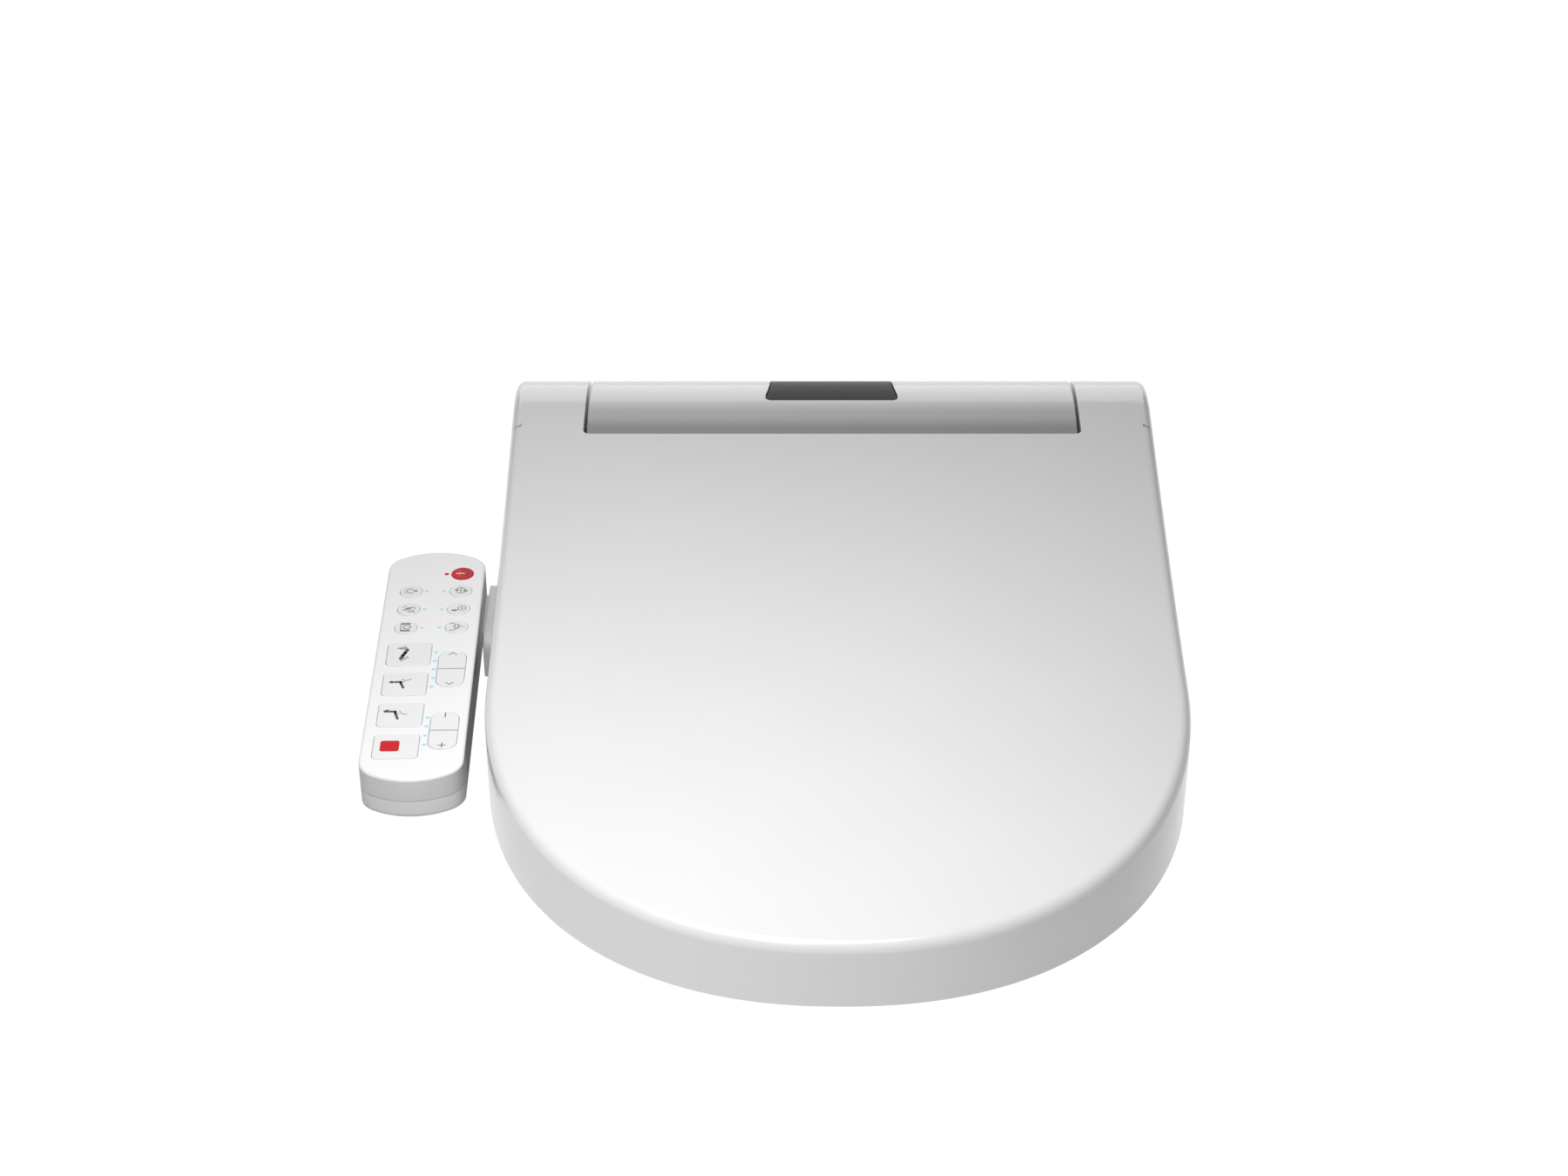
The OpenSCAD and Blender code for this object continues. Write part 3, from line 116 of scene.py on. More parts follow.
M = {
    "white_gloss": material("white_gloss", (0.80, 0.80, 0.81), rough=0.22, coat=0.35, mottle=0.012,
            rough_var=0.03, sss=0.05),
    # copy of white_gloss for the hub, which takes painted shade along Y below
    "hub_gloss_painted_shade": material("hub_gloss_painted_shade", (0.80, 0.80, 0.81), rough=0.24, coat=0.35, mottle=0.012,
            rough_var=0.03),
    "white_matte": material("white_matte", (0.74, 0.74, 0.75), rough=0.42, grain=0.25, mottle=0.02),
    "face_white": material("face_white", (0.91, 0.91, 0.915), rough=0.34, grain=0.12, grain_scale=1600,
            mottle=0.012),
    # case_white takes painted shade on the panel's right side wall below
    "case_white": material("case_white", (0.66, 0.66, 0.67), spec=0.2, rough=0.5, grain=0.15,
            grain_scale=1300, mottle=0.02),
    "key_white": material("key_white", (0.84, 0.84, 0.845), rough=0.36, grain=0.2, grain_scale=1800,
            mottle=0.012),
    "window_smoke": material("window_smoke", (0.075, 0.075, 0.078), rough=0.3, mottle=0.05, rough_var=0.04,
            spec=0.2, ior=1.12),
    "grey_plastic": material("grey_plastic", (0.34, 0.35, 0.37), rough=0.5, grain=0.4),
    "dark_plastic": material("dark_plastic", (0.035, 0.035, 0.04), rough=0.5, grain=0.4, mottle=0.15),
    "natural_nylon": material("natural_nylon", (0.72, 0.69, 0.60), rough=0.45, grain=0.2, sss=0.1),
    "steel": material("steel", (0.58, 0.58, 0.60), rough=0.28, metal=1.0, rough_var=0.12,
            brushed=(4, 60, 60)),
    "brass": material("brass", (0.72, 0.55, 0.28), rough=0.26, metal=1.0, rough_var=0.1,
            brushed=(40, 4, 40)),
    "rubber": material("rubber", (0.52, 0.52, 0.53), rough=0.7, grain=0.5, mottle=0.06),
    "board": material("board", (0.02, 0.16, 0.07), rough=0.35, coat=0.3, mottle=0.35, mottle_scale=120),
    "carbon": material("carbon", (0.03, 0.03, 0.032), rough=0.85, grain=1.0, grain_scale=500, mottle=0.4,
            mottle_scale=300),
    "foil": material("foil", (0.78, 0.78, 0.80), rough=0.35, metal=1.0, grain=0.6, grain_scale=220),
    "key_red": material("key_red", (0.62, 0.006, 0.012), rough=0.3, coat=0.3, mottle=0.06),
    "lamp_blue": material("lamp_blue", (0.30, 0.62, 0.80), rough=0.25, emit=(0.30, 0.66, 0.90),
            emit_strength=0.25, mottle=0.1, mottle_scale=300),
    "lamp_red": material("lamp_red", (0.55, 0.006, 0.02), rough=0.25, emit=(0.8, 0.01, 0.02),
            emit_strength=0.12, mottle=0.1, mottle_scale=300),
    "print_grey": material("print_grey", (0.10, 0.10, 0.105), rough=0.5, mottle=0.1, mottle_scale=400),
    "print_white": material("print_white", (0.85, 0.84, 0.84), rough=0.4, mottle=0.04, mottle_scale=400),
    # painted shade of the rockers' middle crease, a flat grey band
    "painted_crease_shade": material("painted_crease_shade", (0.45, 0.45, 0.46), rough=0.5, mottle=0.05, mottle_scale=400),
}



def ramp_along(t, axis, stops):
    """A grey factor along an object axis; stops are (place in mm, factor)."""
    where = t.nodes.new("ShaderNodeTexCoord")
    parts = t.nodes.new("ShaderNodeSeparateXYZ")
    t.links.new(where.outputs["Object"], parts.inputs["Vector"])
    span = t.nodes.new("ShaderNodeMapRange")
    span.inputs["From Min"].default_value = stops[0][0] * MM
    span.inputs["From Max"].default_value = stops[-1][0] * MM
    t.links.new(parts.outputs[axis], span.inputs["Value"])
    ramp = t.nodes.new("ShaderNodeValToRGB")
    ramp.color_ramp.interpolation = "EASE"
    marks = ramp.color_ramp.elements
    while len(marks) < len(stops):
        marks.new(0.5)
    for stop, (at, f) in zip(marks, stops):
        stop.position = (at - stops[0][0]) / (stops[-1][0] - stops[0][0])
        stop.color = (f, f, f, 1)
    t.links.new(span.outputs["Result"], ramp.inputs["Fac"])
    return ramp.outputs["Color"]


def paint_shade_along(name, axis, stops, other=None, weights=None):
    """Paints shade into a material's colour: multiplies it along one axis, weighted along another."""
    t = M[name].node_tree
    b = t.nodes["Principled BSDF"]
    old = b.inputs["Base Color"].links[0].from_socket
    factor = ramp_along(t, axis, stops)
    if other:
        blend = t.nodes.new("ShaderNodeMix")
        blend.data_type = "VECTOR"
        blend.factor_mode = "NON_UNIFORM"
        t.links.new(ramp_along(t, other, weights), blend.inputs[1])
        blend.inputs[4].default_value = (1, 1, 1)
        t.links.new(factor, blend.inputs[5])
        factor = blend.outputs[1]
    mix = t.nodes.new("ShaderNodeVectorMath")
    mix.operation = "MULTIPLY"
    t.links.new(old, mix.inputs[0])
    t.links.new(factor, mix.inputs[1])
    t.links.new(mix.outputs["Vector"], b.inputs["Base Color"])


# painted shade: the hub's crown darkens towards the notch front, where it dips under the lid's front edge
paint_shade_along("hub_gloss_painted_shade", "Y", [(-58, 1.0), (-48, 0.85), (-36, 0.30), (-24, 0.40), (-12, 0.64), (4, 0.90),
        (24, 1.0)])
# painted shade: the panel's right side wall, facing the lid, darkens towards the lid, most in the middle
# of its length
paint_shade_along("case_white", "X", [(-228, 1.0), (-215, 0.72), (-207, 0.42), (-201, 0.10)], "Y",
            [(-326, 0.1), (-308, 0.5), (-292, 0.9), (-225, 1.0), (-190, 0.5), (-165, 0.1)])

# ---------- mesh tools (all sizes in millimetres) ----------


def mesh_object(name, verts, faces, mat, angle=32.0):
    me = bpy.data.meshes.new(name)
    me.from_pydata([(x * MM, y * MM, z * MM) for x, y, z in verts], [], faces)
    bm = bmesh.new()
    bm.from_mesh(me)
    bmesh.ops.remove_doubles(bm, verts=bm.verts, dist=2e-7)
    bmesh.ops.dissolve_degenerate(bm, edges=bm.edges, dist=1e-7)
    bmesh.ops.recalc_face_normals(bm, faces=bm.faces)
    bm.to_mesh(me)
    bm.free()
    me.shade_smooth()
    me.set_sharp_from_angle(angle=math.radians(angle))
    me.materials.append(M[mat])
    ob = bpy.data.objects.new(name, me)
    bpy.context.scene.collection.objects.link(ob)
    return ob


def inward(points):
    """Mitred inward normals of a loop that runs counterclockwise."""
    out = []
    n = len(points)
    for i in range(n):
        p, q, r = Vector(points[i - 1]), Vector(points[i]), Vector(points[(i + 1) % n])
        a = (q - p).normalized()
        b = (r - q).normalized()
        na, nb = Vector((-a.y, a.x)), Vector((-b.y, b.x))
        m = (na + nb).normalized()
        out.append(m / max(0.55, m.dot(na)))
    return out


def shrink(points, d, normals=None):
    normals = normals or inward(points)
    if not isinstance(d, (list, tuple)):
        d = [d] * len(points)
    return [(p[0] + n.x * e, p[1] + n.y * e) for p, n, e in zip(points, normals, d)]


def inside(x, y, loop):
    hit = False
    n = len(loop)
    for i in range(n):
        x0, y0 = loop[i - 1]
        x1, y1 = loop[i]
        if (y0 > y) != (y1 > y) and x < (x1 - x0) * (y - y0) / (y1 - y0) + x0:
            hit = not hit
    return hit


def cap(loops, extra=()):
    """Triangles between the first loop and the holes in it, and the points they use."""
    pts = []
    edges = []
    for loop in loops:
        k = len(pts)
        pts += [Vector(p) for p in loop]
        edges += [(k + i, k + (i + 1) % len(loop)) for i in range(len(loop))]
    pts += [Vector(p) for p in extra]
    vs, _, fs, _, _, _ = delaunay_2d_cdt(pts, edges, [], 0, 1e-6)
    keep = []
    for f in fs:
        cx = sum(vs[i][0] for i in f) / len(f)
        cy = sum(vs[i][1] for i in f) / len(f)
        if inside(cx, cy, loops[0]) and not any(inside(cx, cy, h) for h in loops[1:]):
            keep.append(tuple(f))
    return [(v[0], v[1]) for v in vs], keep


class Build:
    def __init__(self):
        self.v = []
        self.f = []

    def ring(self, points, zs):
        k = len(self.v)
        self.v += [(p[0], p[1], z) for p, z in zip(points, zs)]
        return list(range(k, k + len(points)))

    def join(self, a, b):
        n = len(a)
        self.f += [(a[i], a[(i + 1) % n], b[(i + 1) % n], b[i]) for i in range(n)]

    def lid(self, loops, height, extra=()):
        pts, tris = cap(loops, extra)
        k = len(self.v)
        self.v += [(x, y, height(x, y)) for x, y in pts]
        self.f += [tuple(k + i for i in t) for t in tris]

    def done(self, name, mat, angle=32.0):
        return mesh_object(name, self.v, self.f, mat, angle)


def plate(name, outer, holes, z0, z1, mat, top=0.5, bottom=0.3, hole_edge=0.15, steps=4, angle=32.0):
    """Flat piece with rounded edges: outer loop counterclockwise, holes clockwise."""
    b = Build()
    loops = [(outer, top, bottom)] + [(h, hole_edge, 0.0) for h in holes]
    tops, bots = [], []
    for loop, rt, rb in loops:
        nn = inward(loop)
        rings = []
        for i in range(steps + 1):
            a = math.pi / 2 * i / steps
            if rb or i == steps:
                rings.append((rb * (1 - math.sin(a)), z0 + rb * (1 - math.cos(a))))
        for i in range(steps + 1):
            a = math.pi / 2 * i / steps
            rings.append((rt * (1 - math.cos(a)), z1 - rt * (1 - math.sin(a))))
        prev = None
        for off, z in rings:
            cur = b.ring(shrink(loop, off, nn), [z] * len(loop))
            if prev:
                b.join(prev, cur)
            prev = cur
        flat = shrink(loop, rt + 0.12, nn)
        cur = b.ring(flat, [z1] * len(loop))
        b.join(prev, cur)
        tops.append(flat)
        bots.append(shrink(loop, rb, nn) if rb else list(loop))
    b.lid(tops, lambda x, y: z1)
    b.lid(bots, lambda x, y: z0)
    return b.done(name, mat, angle)


def circle(x, y, r, n=48):
    return [(x + r * math.cos(2 * math.pi * i / n), y + r * math.sin(2 * math.pi * i / n))
            for i in range(n)]


def rounded(x, y, w, h, r, n=8):
    out = []
    for cx, cy, a0 in ((w / 2 - r, h / 2 - r, 0), (-w / 2 + r, h / 2 - r, 90),
            (-w / 2 + r, -h / 2 + r, 180), (w / 2 - r, -h / 2 + r, 270)):
        for i in range(n + 1):
            a = math.radians(a0 + 90 * i / n)
            out.append((x + cx + r * math.cos(a), y + cy + r * math.sin(a)))
    return out


def flip(loop):
    return list(reversed(loop))


def side_prism(name, profile, x0, x1, mat, round_end=0.0, angle=32.0, steps=3):
    """A side view, drawn in Y and Z, made into a piece from x0 to x1 with rounded ends."""
    b = Build()
    area = sum(profile[i - 1][0] * profile[i][1] - profile[i][0] * profile[i - 1][1]
            for i in range(len(profile)))
    if area < 0:
        profile = flip(profile)
    nn = inward(profile)
    ends = []
    stations = []
    for i in range(steps + 1):
        a = math.pi / 2 * i / steps
        stations.append((round_end * (1 - math.sin(a)), round_end * (1 - math.cos(a))))
    rows = [(off, x0 + dx) for off, dx in stations] + [(off, x1 - dx) for off, dx in reversed(stations)]
    prev = None
    first = last = None
    for off, x in rows:
        loop = shrink(profile, off, nn)
        k = len(b.v)
        b.v += [(x, p[0], p[1]) for p in loop]
        cur = list(range(k, k + len(loop)))
        if prev:
            b.join(prev, cur)
        else:
            first = (loop, x)
        prev = cur
        last = (loop, x)
    for loop, x in (first, last):
        pts, tris = cap([loop])
        k = len(b.v)
        b.v += [(x, p[0], p[1]) for p in pts]
        b.f += [tuple(k + i for i in t) for t in tris]
    return b.done(name, mat, angle)


def turned(name, profile, mat, axis="X", at=(0, 0, 0), n=48, angle=32.0):
    """Turns a profile of (distance along the axis, radius); closed on the axis or as a ring."""
    v, f = [], []
    for s, r in profile:
        for i in range(n):
            a = 2 * math.pi * i / n
            u, w = r * math.cos(a), r * math.sin(a)
            p = (s, u, w) if axis == "X" else (u, s, w) if axis == "Y" else (u, w, s)
            v.append((p[0] + at[0], p[1] + at[1], p[2] + at[2]))
    m = len(profile)
    for j in range(m):
        if j == m - 1 and profile[0][1] < 1e-6:
            break
        k = (j + 1) % m
        for i in range(n):
            f.append((j * n + i, j * n + (i + 1) % n, k * n + (i + 1) % n, k * n + i))
    return mesh_object(name, v, f, mat, angle)


def box_mesh(name, x0, x1, y0, y1, z0, z1):
    v = [(x, y, z) for x in (x0, x1) for y in (y0, y1) for z in (z0, z1)]
    f = [(0, 1, 3, 2), (4, 6, 7, 5), (0, 4, 5, 1), (2, 3, 7, 6), (0, 2, 6, 4), (1, 5, 7, 3)]
    return mesh_object(name, v, f, "white_matte")


def cut(ob, tools, angle=32.0):
    """Cuts the tool pieces out of a new piece and removes them."""
    for tool in tools:
        mod = ob.modifiers.new("cut", "BOOLEAN")
        mod.operation = "DIFFERENCE"
        mod.solver = "EXACT"
        mod.object = tool
    dg = bpy.context.evaluated_depsgraph_get()
    me = bpy.data.meshes.new_from_object(ob.evaluated_get(dg))
    ob.modifiers.clear()
    ob.data = me
    keep = me.materials[0]
    me.materials.clear()
    me.materials.append(keep)
    for p in me.polygons:
        p.material_index = 0
    me.shade_smooth()
    me.set_sharp_from_angle(angle=math.radians(angle))
    for tool in tools:
        bpy.data.objects.remove(tool)
    return ob


def joined(name, parts):
    me = bpy.data.meshes.new(name)
    bm = bmesh.new()
    mats = []
    for p in parts:
        mat = p.data.materials[0]
        if mat not in mats:
            mats.append(mat)
        k = len(bm.faces)
        bm.from_mesh(p.data)
        bm.faces.ensure_lookup_table()
        for i in range(k, len(bm.faces)):
            bm.faces[i].material_index = mats.index(mat)
    bm.to_mesh(me)
    bm.free()
    for mat in mats:
        me.materials.append(mat)
    ob = bpy.data.objects.new(name, me)
    bpy.context.scene.collection.objects.link(ob)
    for p in parts:
        bpy.data.objects.remove(p)
    return ob


def put(ob, body, slot, *nodes):
    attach(ob, body)
    if nodes:
        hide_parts(*nodes)
    return ob


# ---------- shared sizes ----------

LID_W, EAR_W, REACH, ROUND, POWER = 384.0, 395.0, 470.0, 207.0, 2.2
FRONT_Z, SLOPE, SKIRT, EAR_SKIRT, WALL, EDGE = 48.6, math.radians(4.2), 9.0, 38.0, 2.8, 6.0
CROWN_R, CROWN_START, CROWN_END, TAIL_R = 93.0, -4.0, math.radians(33), 14.0
NOTCH_FRONT, HUB_W, HUB_FRONT, NOTCH_HW = 31.7, 299.4, 60.0, 151.5
WIDE_Y = ROUND - REACH


def plane(y):
    return FRONT_Z + math.tan(SLOPE) * (y + REACH)


CROWN_Y = CROWN_START + CROWN_R * math.sin(SLOPE)
CROWN_Z = plane(CROWN_START) - CROWN_R * math.cos(SLOPE)
REAR_Y = CROWN_Y + (CROWN_R - TAIL_R) * math.sin(CROWN_END) + TAIL_R
TAIL_Y = REAR_Y - TAIL_R
TAIL_Z = CROWN_Z + (CROWN_R - TAIL_R) * math.cos(CROWN_END)
HINGE_Y, HINGE_Z = REAR_Y - 26.0, 46.0
BEND_Y = CROWN_Y + CROWN_R * math.sin(CROWN_END)


def crown(y, s=0.0):
    """Height of the crown or the tail behind it, s below the surface."""
    if y <= CROWN_Y + (CROWN_R - s) * math.sin(CROWN_END):
        return CROWN_Z + math.sqrt(max(0.0, (CROWN_R - s) ** 2 - (y - CROWN_Y) ** 2))
    return TAIL_Z + math.sqrt(max(0.0, (TAIL_R - s) ** 2 - (y - TAIL_Y) ** 2))


def lid_top(y, s=0.0):
    if y < CROWN_START + 0.3:
        return plane(y) - s
    return crown(y, s)


def half_front(s, n=64):
    """The side of a D-shaped plan, from the front tip to the widest point."""
    out = []
    for i in range(n + 1):
        t = math.pi / 2 * (1 - i / n)
        out.append(((LID_W / 2 - s) * max(0.0, math.cos(t)) ** (2 / POWER),
                    WIDE_Y - (ROUND - s) * max(0.0, math.sin(t)) ** (2 / POWER)))
    return out


def side_x(y, s, rear=None):
    rear = REAR_Y if rear is None else rear
    u = min(1.0, max(0.0, (y - WIDE_Y) / (rear - 8 - WIDE_Y)))
    return LID_W / 2 - s + (EAR_W - LID_W) / 2 * (u ** 1.35)


# ---------- lid ----------

def spread(a, b, n):
    return [a + (b - a) * i / n for i in range(n)]


def lid_outline():
    """Right half of the lid's plan: point, rounding width, rounding drop and lower edge."""
    out = []
    for x, y in half_front(0)[:-1]:
        out.append((x, y, EDGE, EDGE, SKIRT))
    step_y, step_r = -25.0, 3.0
    ys = spread(WIDE_Y, step_y - step_r, 26)
    for y in ys:
        out.append((side_x(y, 0), y, EDGE, EDGE, SKIRT))
    for i in range(7):
        a = math.pi / 2 * i / 6
        out.append((side_x(step_y - step_r, 0), step_y - step_r + step_r * math.sin(a), EDGE, EDGE, SKIRT
                + step_r * (1 - math.cos(a))))
    for i in range(7):
        a = math.pi / 2 * i / 6
        out.append((side_x(step_y, 0), step_y + 0.05 + step_r * (1 - math.cos(a)), EDGE, EDGE, EAR_SKIRT
                - step_r * (1 - math.sin(a))))
    for y in spread(step_y + step_r + 1, REAR_Y - 8, 30):
        out.append((side_x(y, 0), y, EDGE, EDGE, EAR_SKIRT))
    for i in range(13):
        a = math.radians(90 * i / 12)
        w = math.sin(a)
        out.append((EAR_W / 2 - 8 + 8 * math.cos(a), REAR_Y - 8 + 8 * math.sin(a), EDGE + (7.6 - EDGE) * w,
                EDGE * (1 - w), EAR_SKIRT))
    for i, x in enumerate(spread(EAR_W / 2 - 9.5, NOTCH_HW + 3, 12)):
        w = min(1.0, (i + 1) / 4)
        out.append((x, REAR_Y, 7.6 + (13.4 - 7.6) * w, 0.0, EAR_SKIRT))
    out.append((NOTCH_HW + 1.0, REAR_Y, 13.4, 0.0, EAR_SKIRT))
    for i in range(1, 34):
        y = REAR_Y - (REAR_Y + NOTCH_FRONT - 4.2) * i / 33
        f = min(1.0, i / 6)
        out.append((NOTCH_HW, y, 0.7, 0.7 * f, EAR_SKIRT))
    for i in range(1, 8):
        a = math.radians(90 * i / 8)
        out.append((NOTCH_HW - 4 * (1 - math.cos(a)), -NOTCH_FRONT + 4 - 4 * math.sin(a), 0.7, 0.7, None
                if i > 1 else EAR_SKIRT))
    for x in spread(NOTCH_HW - 4, 0, 30):
        out.append((x, -NOTCH_FRONT, 0.7, 0.7, None))
    return out


def whole(half):
    other = [(-p[0],) + tuple(p[1:]) for p in reversed(half) if p[0] > 1e-6]
    return half + other


lid_pts = whole(lid_outline())
loop0 = [(p[0], p[1]) for p in lid_pts]
lid_in = inward(loop0)
b = Build()
K = 8


def lid_skin(s):
    """One skin of the lid, s inside the outer one: rings from the lower edge to the top."""
    rings = []
    base = shrink(loop0, s, lid_in) if s else loop0
    tops = []
    for k in range(K + 1):
        a = math.pi / 2 * k / K
        offs = [s + max(0.05 * k, (p[2] - s) * (1 - math.cos(a))) if s else p[2] * (1 - math.cos(a))
                for p in lid_pts]
        pts = shrink(loop0, offs, lid_in)
        zs = []
        for p, q in zip(lid_pts, pts):
            y = min(q[1], REAR_Y - s - 0.0)
            drop = max(0.0, p[3] - s) * (1 - math.sin(a))
            zs.append(lid_top(y, s) - drop)
        tops.append((pts, zs))
    low = []
    for p, q, z in zip(lid_pts, base, tops[0][1]):
        if p[4] is None:
            low.append(lid_top(p[1], WALL) + (0.0 if s else 0.0))
        else:
            low.append(p[4])
    low = [min(l, z - 0.02) for l, z in zip(low, tops[0][1])]
    rings.append(b.ring(base, low))
    for pts, zs in tops:
        rings.append(b.ring(pts, zs))
    for r0, r1 in zip(rings, rings[1:]):
        b.join(r0, r1)
    last = tops[-1][0]
    flat = shrink(last, 0.35)
    cur = b.ring(flat, [lid_top(min(q[1], REAR_Y - s), s) for q in flat])
    b.join(rings[-1], cur)
    extra = []
    y = -REACH + 20
    while y < -NOTCH_FRONT - 8:
        x = 0.0
        while x < 190:
            for sx in ((x, -x) if x else (x,)):
                if inside(sx, y, shrink(flat, 2.5)):
                    extra.append((sx, y))
            x += 24
        y += 22
    for i in range(46):
        y = -38 + (REAR_Y - 2 + 38) * i / 45
        for x in (158, 166, 174, 182):
            for sx in (x, -x):
                if inside(sx, y, shrink(flat, 0.8)):
                    extra.append((sx, y))
    b.lid([flat], lambda x, y: lid_top(min(y, REAR_Y - s), s), extra)
    return rings[0]


outer_low = lid_skin(0.0)
inner_low = lid_skin(WALL)
b.join(outer_low, inner_low)
lid = b.done("lid_skin", "white_gloss", 40)
put(lid, "lid", "white_gloss", "lid_shell")
for side, name in ((1, "left"), (-1, "right")):
    ring = [(0, 5.05), (0, 12), (3, 12), (3, 5.05)]
    ob = turned("lid_ear_boss_" + name, [(s * side, r) for s, r in ring], "white_gloss", "X",
            (side * (NOTCH_HW + 0.02), HINGE_Y, HINGE_Z))
    put(ob, "lid", "white_gloss", "lid_shell")

# ---------- hub ----------

b = Build()
hub_half = []
hub_half.append((0.0, -HUB_FRONT, 1.2, 1.2))
for x in spread(12, HUB_W / 2 - 1, 12):
    hub_half.append((x, -HUB_FRONT, 1.2, 1.2))
for i in range(60):
    y = -HUB_FRONT + 1.0 + (REAR_Y - 1.5 + HUB_FRONT - 1.0) * (1 - (1 - i / 59) ** 1.0)
    f = min(1.0, (REAR_Y - y) / 12)
    hub_half.append((HUB_W / 2, y, 1.2, 1.2 * f))
hub_half.append((HUB_W / 2 - 0.8, REAR_Y, 12.0, 0.0))
for x in spread(HUB_W / 2 - 6, 0, 24):
    hub_half.append((x, REAR_Y, 13.4, 0.0))
hub_pts = whole(hub_half)
hub_loop = [(p[0], p[1]) for p in hub_pts]
hub_in = inward(hub_loop)
WIN_HW, WIN_FRONT = 40.5, CROWN_Y + CROWN_R * math.sin(math.radians(1))


def hub_skin(s, low):
    tops = []
    for k in range(K + 1):
        a = math.pi / 2 * k / K
        if s:
            offs = [s + max(0.02 * k, (p[2] - s) * (1 - math.cos(a))) for p in hub_pts]
        else:
            offs = [p[2] * (1 - math.cos(a)) for p in hub_pts]
        pts = shrink(hub_loop, offs, hub_in)
        zs = [crown(min(q[1], REAR_Y - s), s) - max(0.0, p[3] - s) * (1 - math.sin(a)) for p,
                q in zip(hub_pts, pts)]
        tops.append((pts, zs))
    base = shrink(hub_loop, s, hub_in) if s else hub_loop
    rings = [b.ring(base, [low] * len(base))]
    for pts, zs in tops:
        rings.append(b.ring(pts, zs))
    for r0, r1 in zip(rings, rings[1:]):
        b.join(r0, r1)
    last = tops[-1][0]
    flat = shrink(last, 0.3)
    cur = b.ring(flat, [crown(min(q[1], REAR_Y - s), s) for q in flat])
    b.join(rings[-1], cur)
    extra = []
    for i in range(64):
        y = -HUB_FRONT + 3 + (REAR_Y + HUB_FRONT - 4) * i / 63
        for j in range(-14, 15):
            x = j * 10.2
            if inside(x, y, shrink(flat, 0.8)):
                extra.append((x, y))
    b.lid([flat], lambda x, y: crown(min(y, REAR_Y - s), s), extra)
    return rings[0]


hub_outer = hub_skin(0.0, 3.0)
hub_inner = hub_skin(3.0, 3.0)
b.join(hub_outer, hub_inner)
# the hub's material carries painted shade towards the notch
hub = b.done("hub_skin", "hub_gloss_painted_shade", 40)


def window_loop(g, y1, n=10):
    """The window's outline grown by g, with rounded front corners."""
    r = 3.2
    out = [(WIN_HW + g, y1), (-WIN_HW - g, y1)]
    for i in range(n + 1):
        a = math.radians(180 + 90 * i / n)
        out.append((-WIN_HW + r + (r + g) * math.cos(a), WIN_FRONT + r + (r + g) * math.sin(a)))
    for i in range(n + 1):
        a = math.radians(270 + 90 * i / n)
        out.append((WIN_HW - r + (r + g) * math.cos(a), WIN_FRONT + r + (r + g) * math.sin(a)))
    return out


def crown_prism(name, loop, s0, s1, mat, edge=0.0, steps=4, angle=40.0):
    """A piece of the crown between two depths, with the given plan."""
    c = Build()
    nn = inward(loop)
    prev = None
    for off, s in [(0.0, s1)] + [(edge * (1 - math.cos(math.pi / 2 * i / steps)), s0
            + edge * (1 - math.sin(math.pi / 2 * i / steps))) for i in range(steps + 1)]:
        pts = shrink(loop, off, nn)
        cur = c.ring(pts, [crown(min(p[1], REAR_Y - max(s, 0) - 0.001), s) for p in pts])
        if prev:
            c.join(prev, cur)
        prev = cur
    for s, off in ((s0, edge), (s1, 0.0)):
        pts = shrink(loop, off, nn)
        extra = []
        for i in range(40):
            y = WIN_FRONT + 0.8 + (REAR_Y - WIN_FRONT - 2) * i / 39
            for j in range(-7, 8):
                if inside(j * 5.4, y, shrink(pts, 0.6)):
                    extra.append((j * 5.4, y))
        c.lid([pts], lambda x, y: crown(min(y, REAR_Y - max(s, 0) - 0.001), s), extra)
    return c.done(name, mat, angle)


# window seat: the crown lowered by the window's thickness inside its outline, open in the middle
seat_tool = crown_prism("tool_window", window_loop(0.35, REAR_Y - 1.95), -1.0, 1.85, "white_gloss")
hole_tool = box_mesh("tool_hole", -WIN_HW + 6, WIN_HW - 6, WIN_FRONT + 6, REAR_Y - 6, 40, 110)
# openings: wands, dryer and deodorizer in front, cartridge, inlet and cord at the rear
tools = [seat_tool, hole_tool,
         box_mesh("tool_a", -23, 23, -64, -54, 8.8, 33),
         box_mesh("tool_b", 47.8, 72.2, -64, -54, 12.8, 32.2),
         box_mesh("tool_c", -54.2, -27.8, -64, -54, 9.8, 28.2),
         box_mesh("tool_d", -54.3, -27.7, REAR_Y - 4, REAR_Y + 2, 9.7, 28.3)]
for x, r, nm in ((122, 9.1, "e"), (-122, 6.1, "f")):
    tools.append(turned("tool_" + nm, [(-8, 0.0), (-8, r), (8, r), (8, 0.0)], "white_gloss", "Y",
            (x, REAR_Y, 24), 64))
hub = cut(hub, tools, 40)
put(hub, "rear_body", "white_gloss", "hub_cover")
window = crown_prism("sensor_window_lens", window_loop(0.0, REAR_Y - 2.2), 0.0, 1.8, "window_smoke",
        edge=0.35)
put(window, "rear_body", "window_smoke", "sensor_window")

# ---------- seat ----------

HOLE_W, HOLE_F, HOLE_R, SEAT_TOP, SEAT_REAR = 208.0, 398.0, 150.0, 41.0, 67.0
SEAT_SLOPE = math.radians(1.5)


def seat_plane(y):
    return SEAT_TOP + math.tan(SEAT_SLOPE) * (y + REACH)


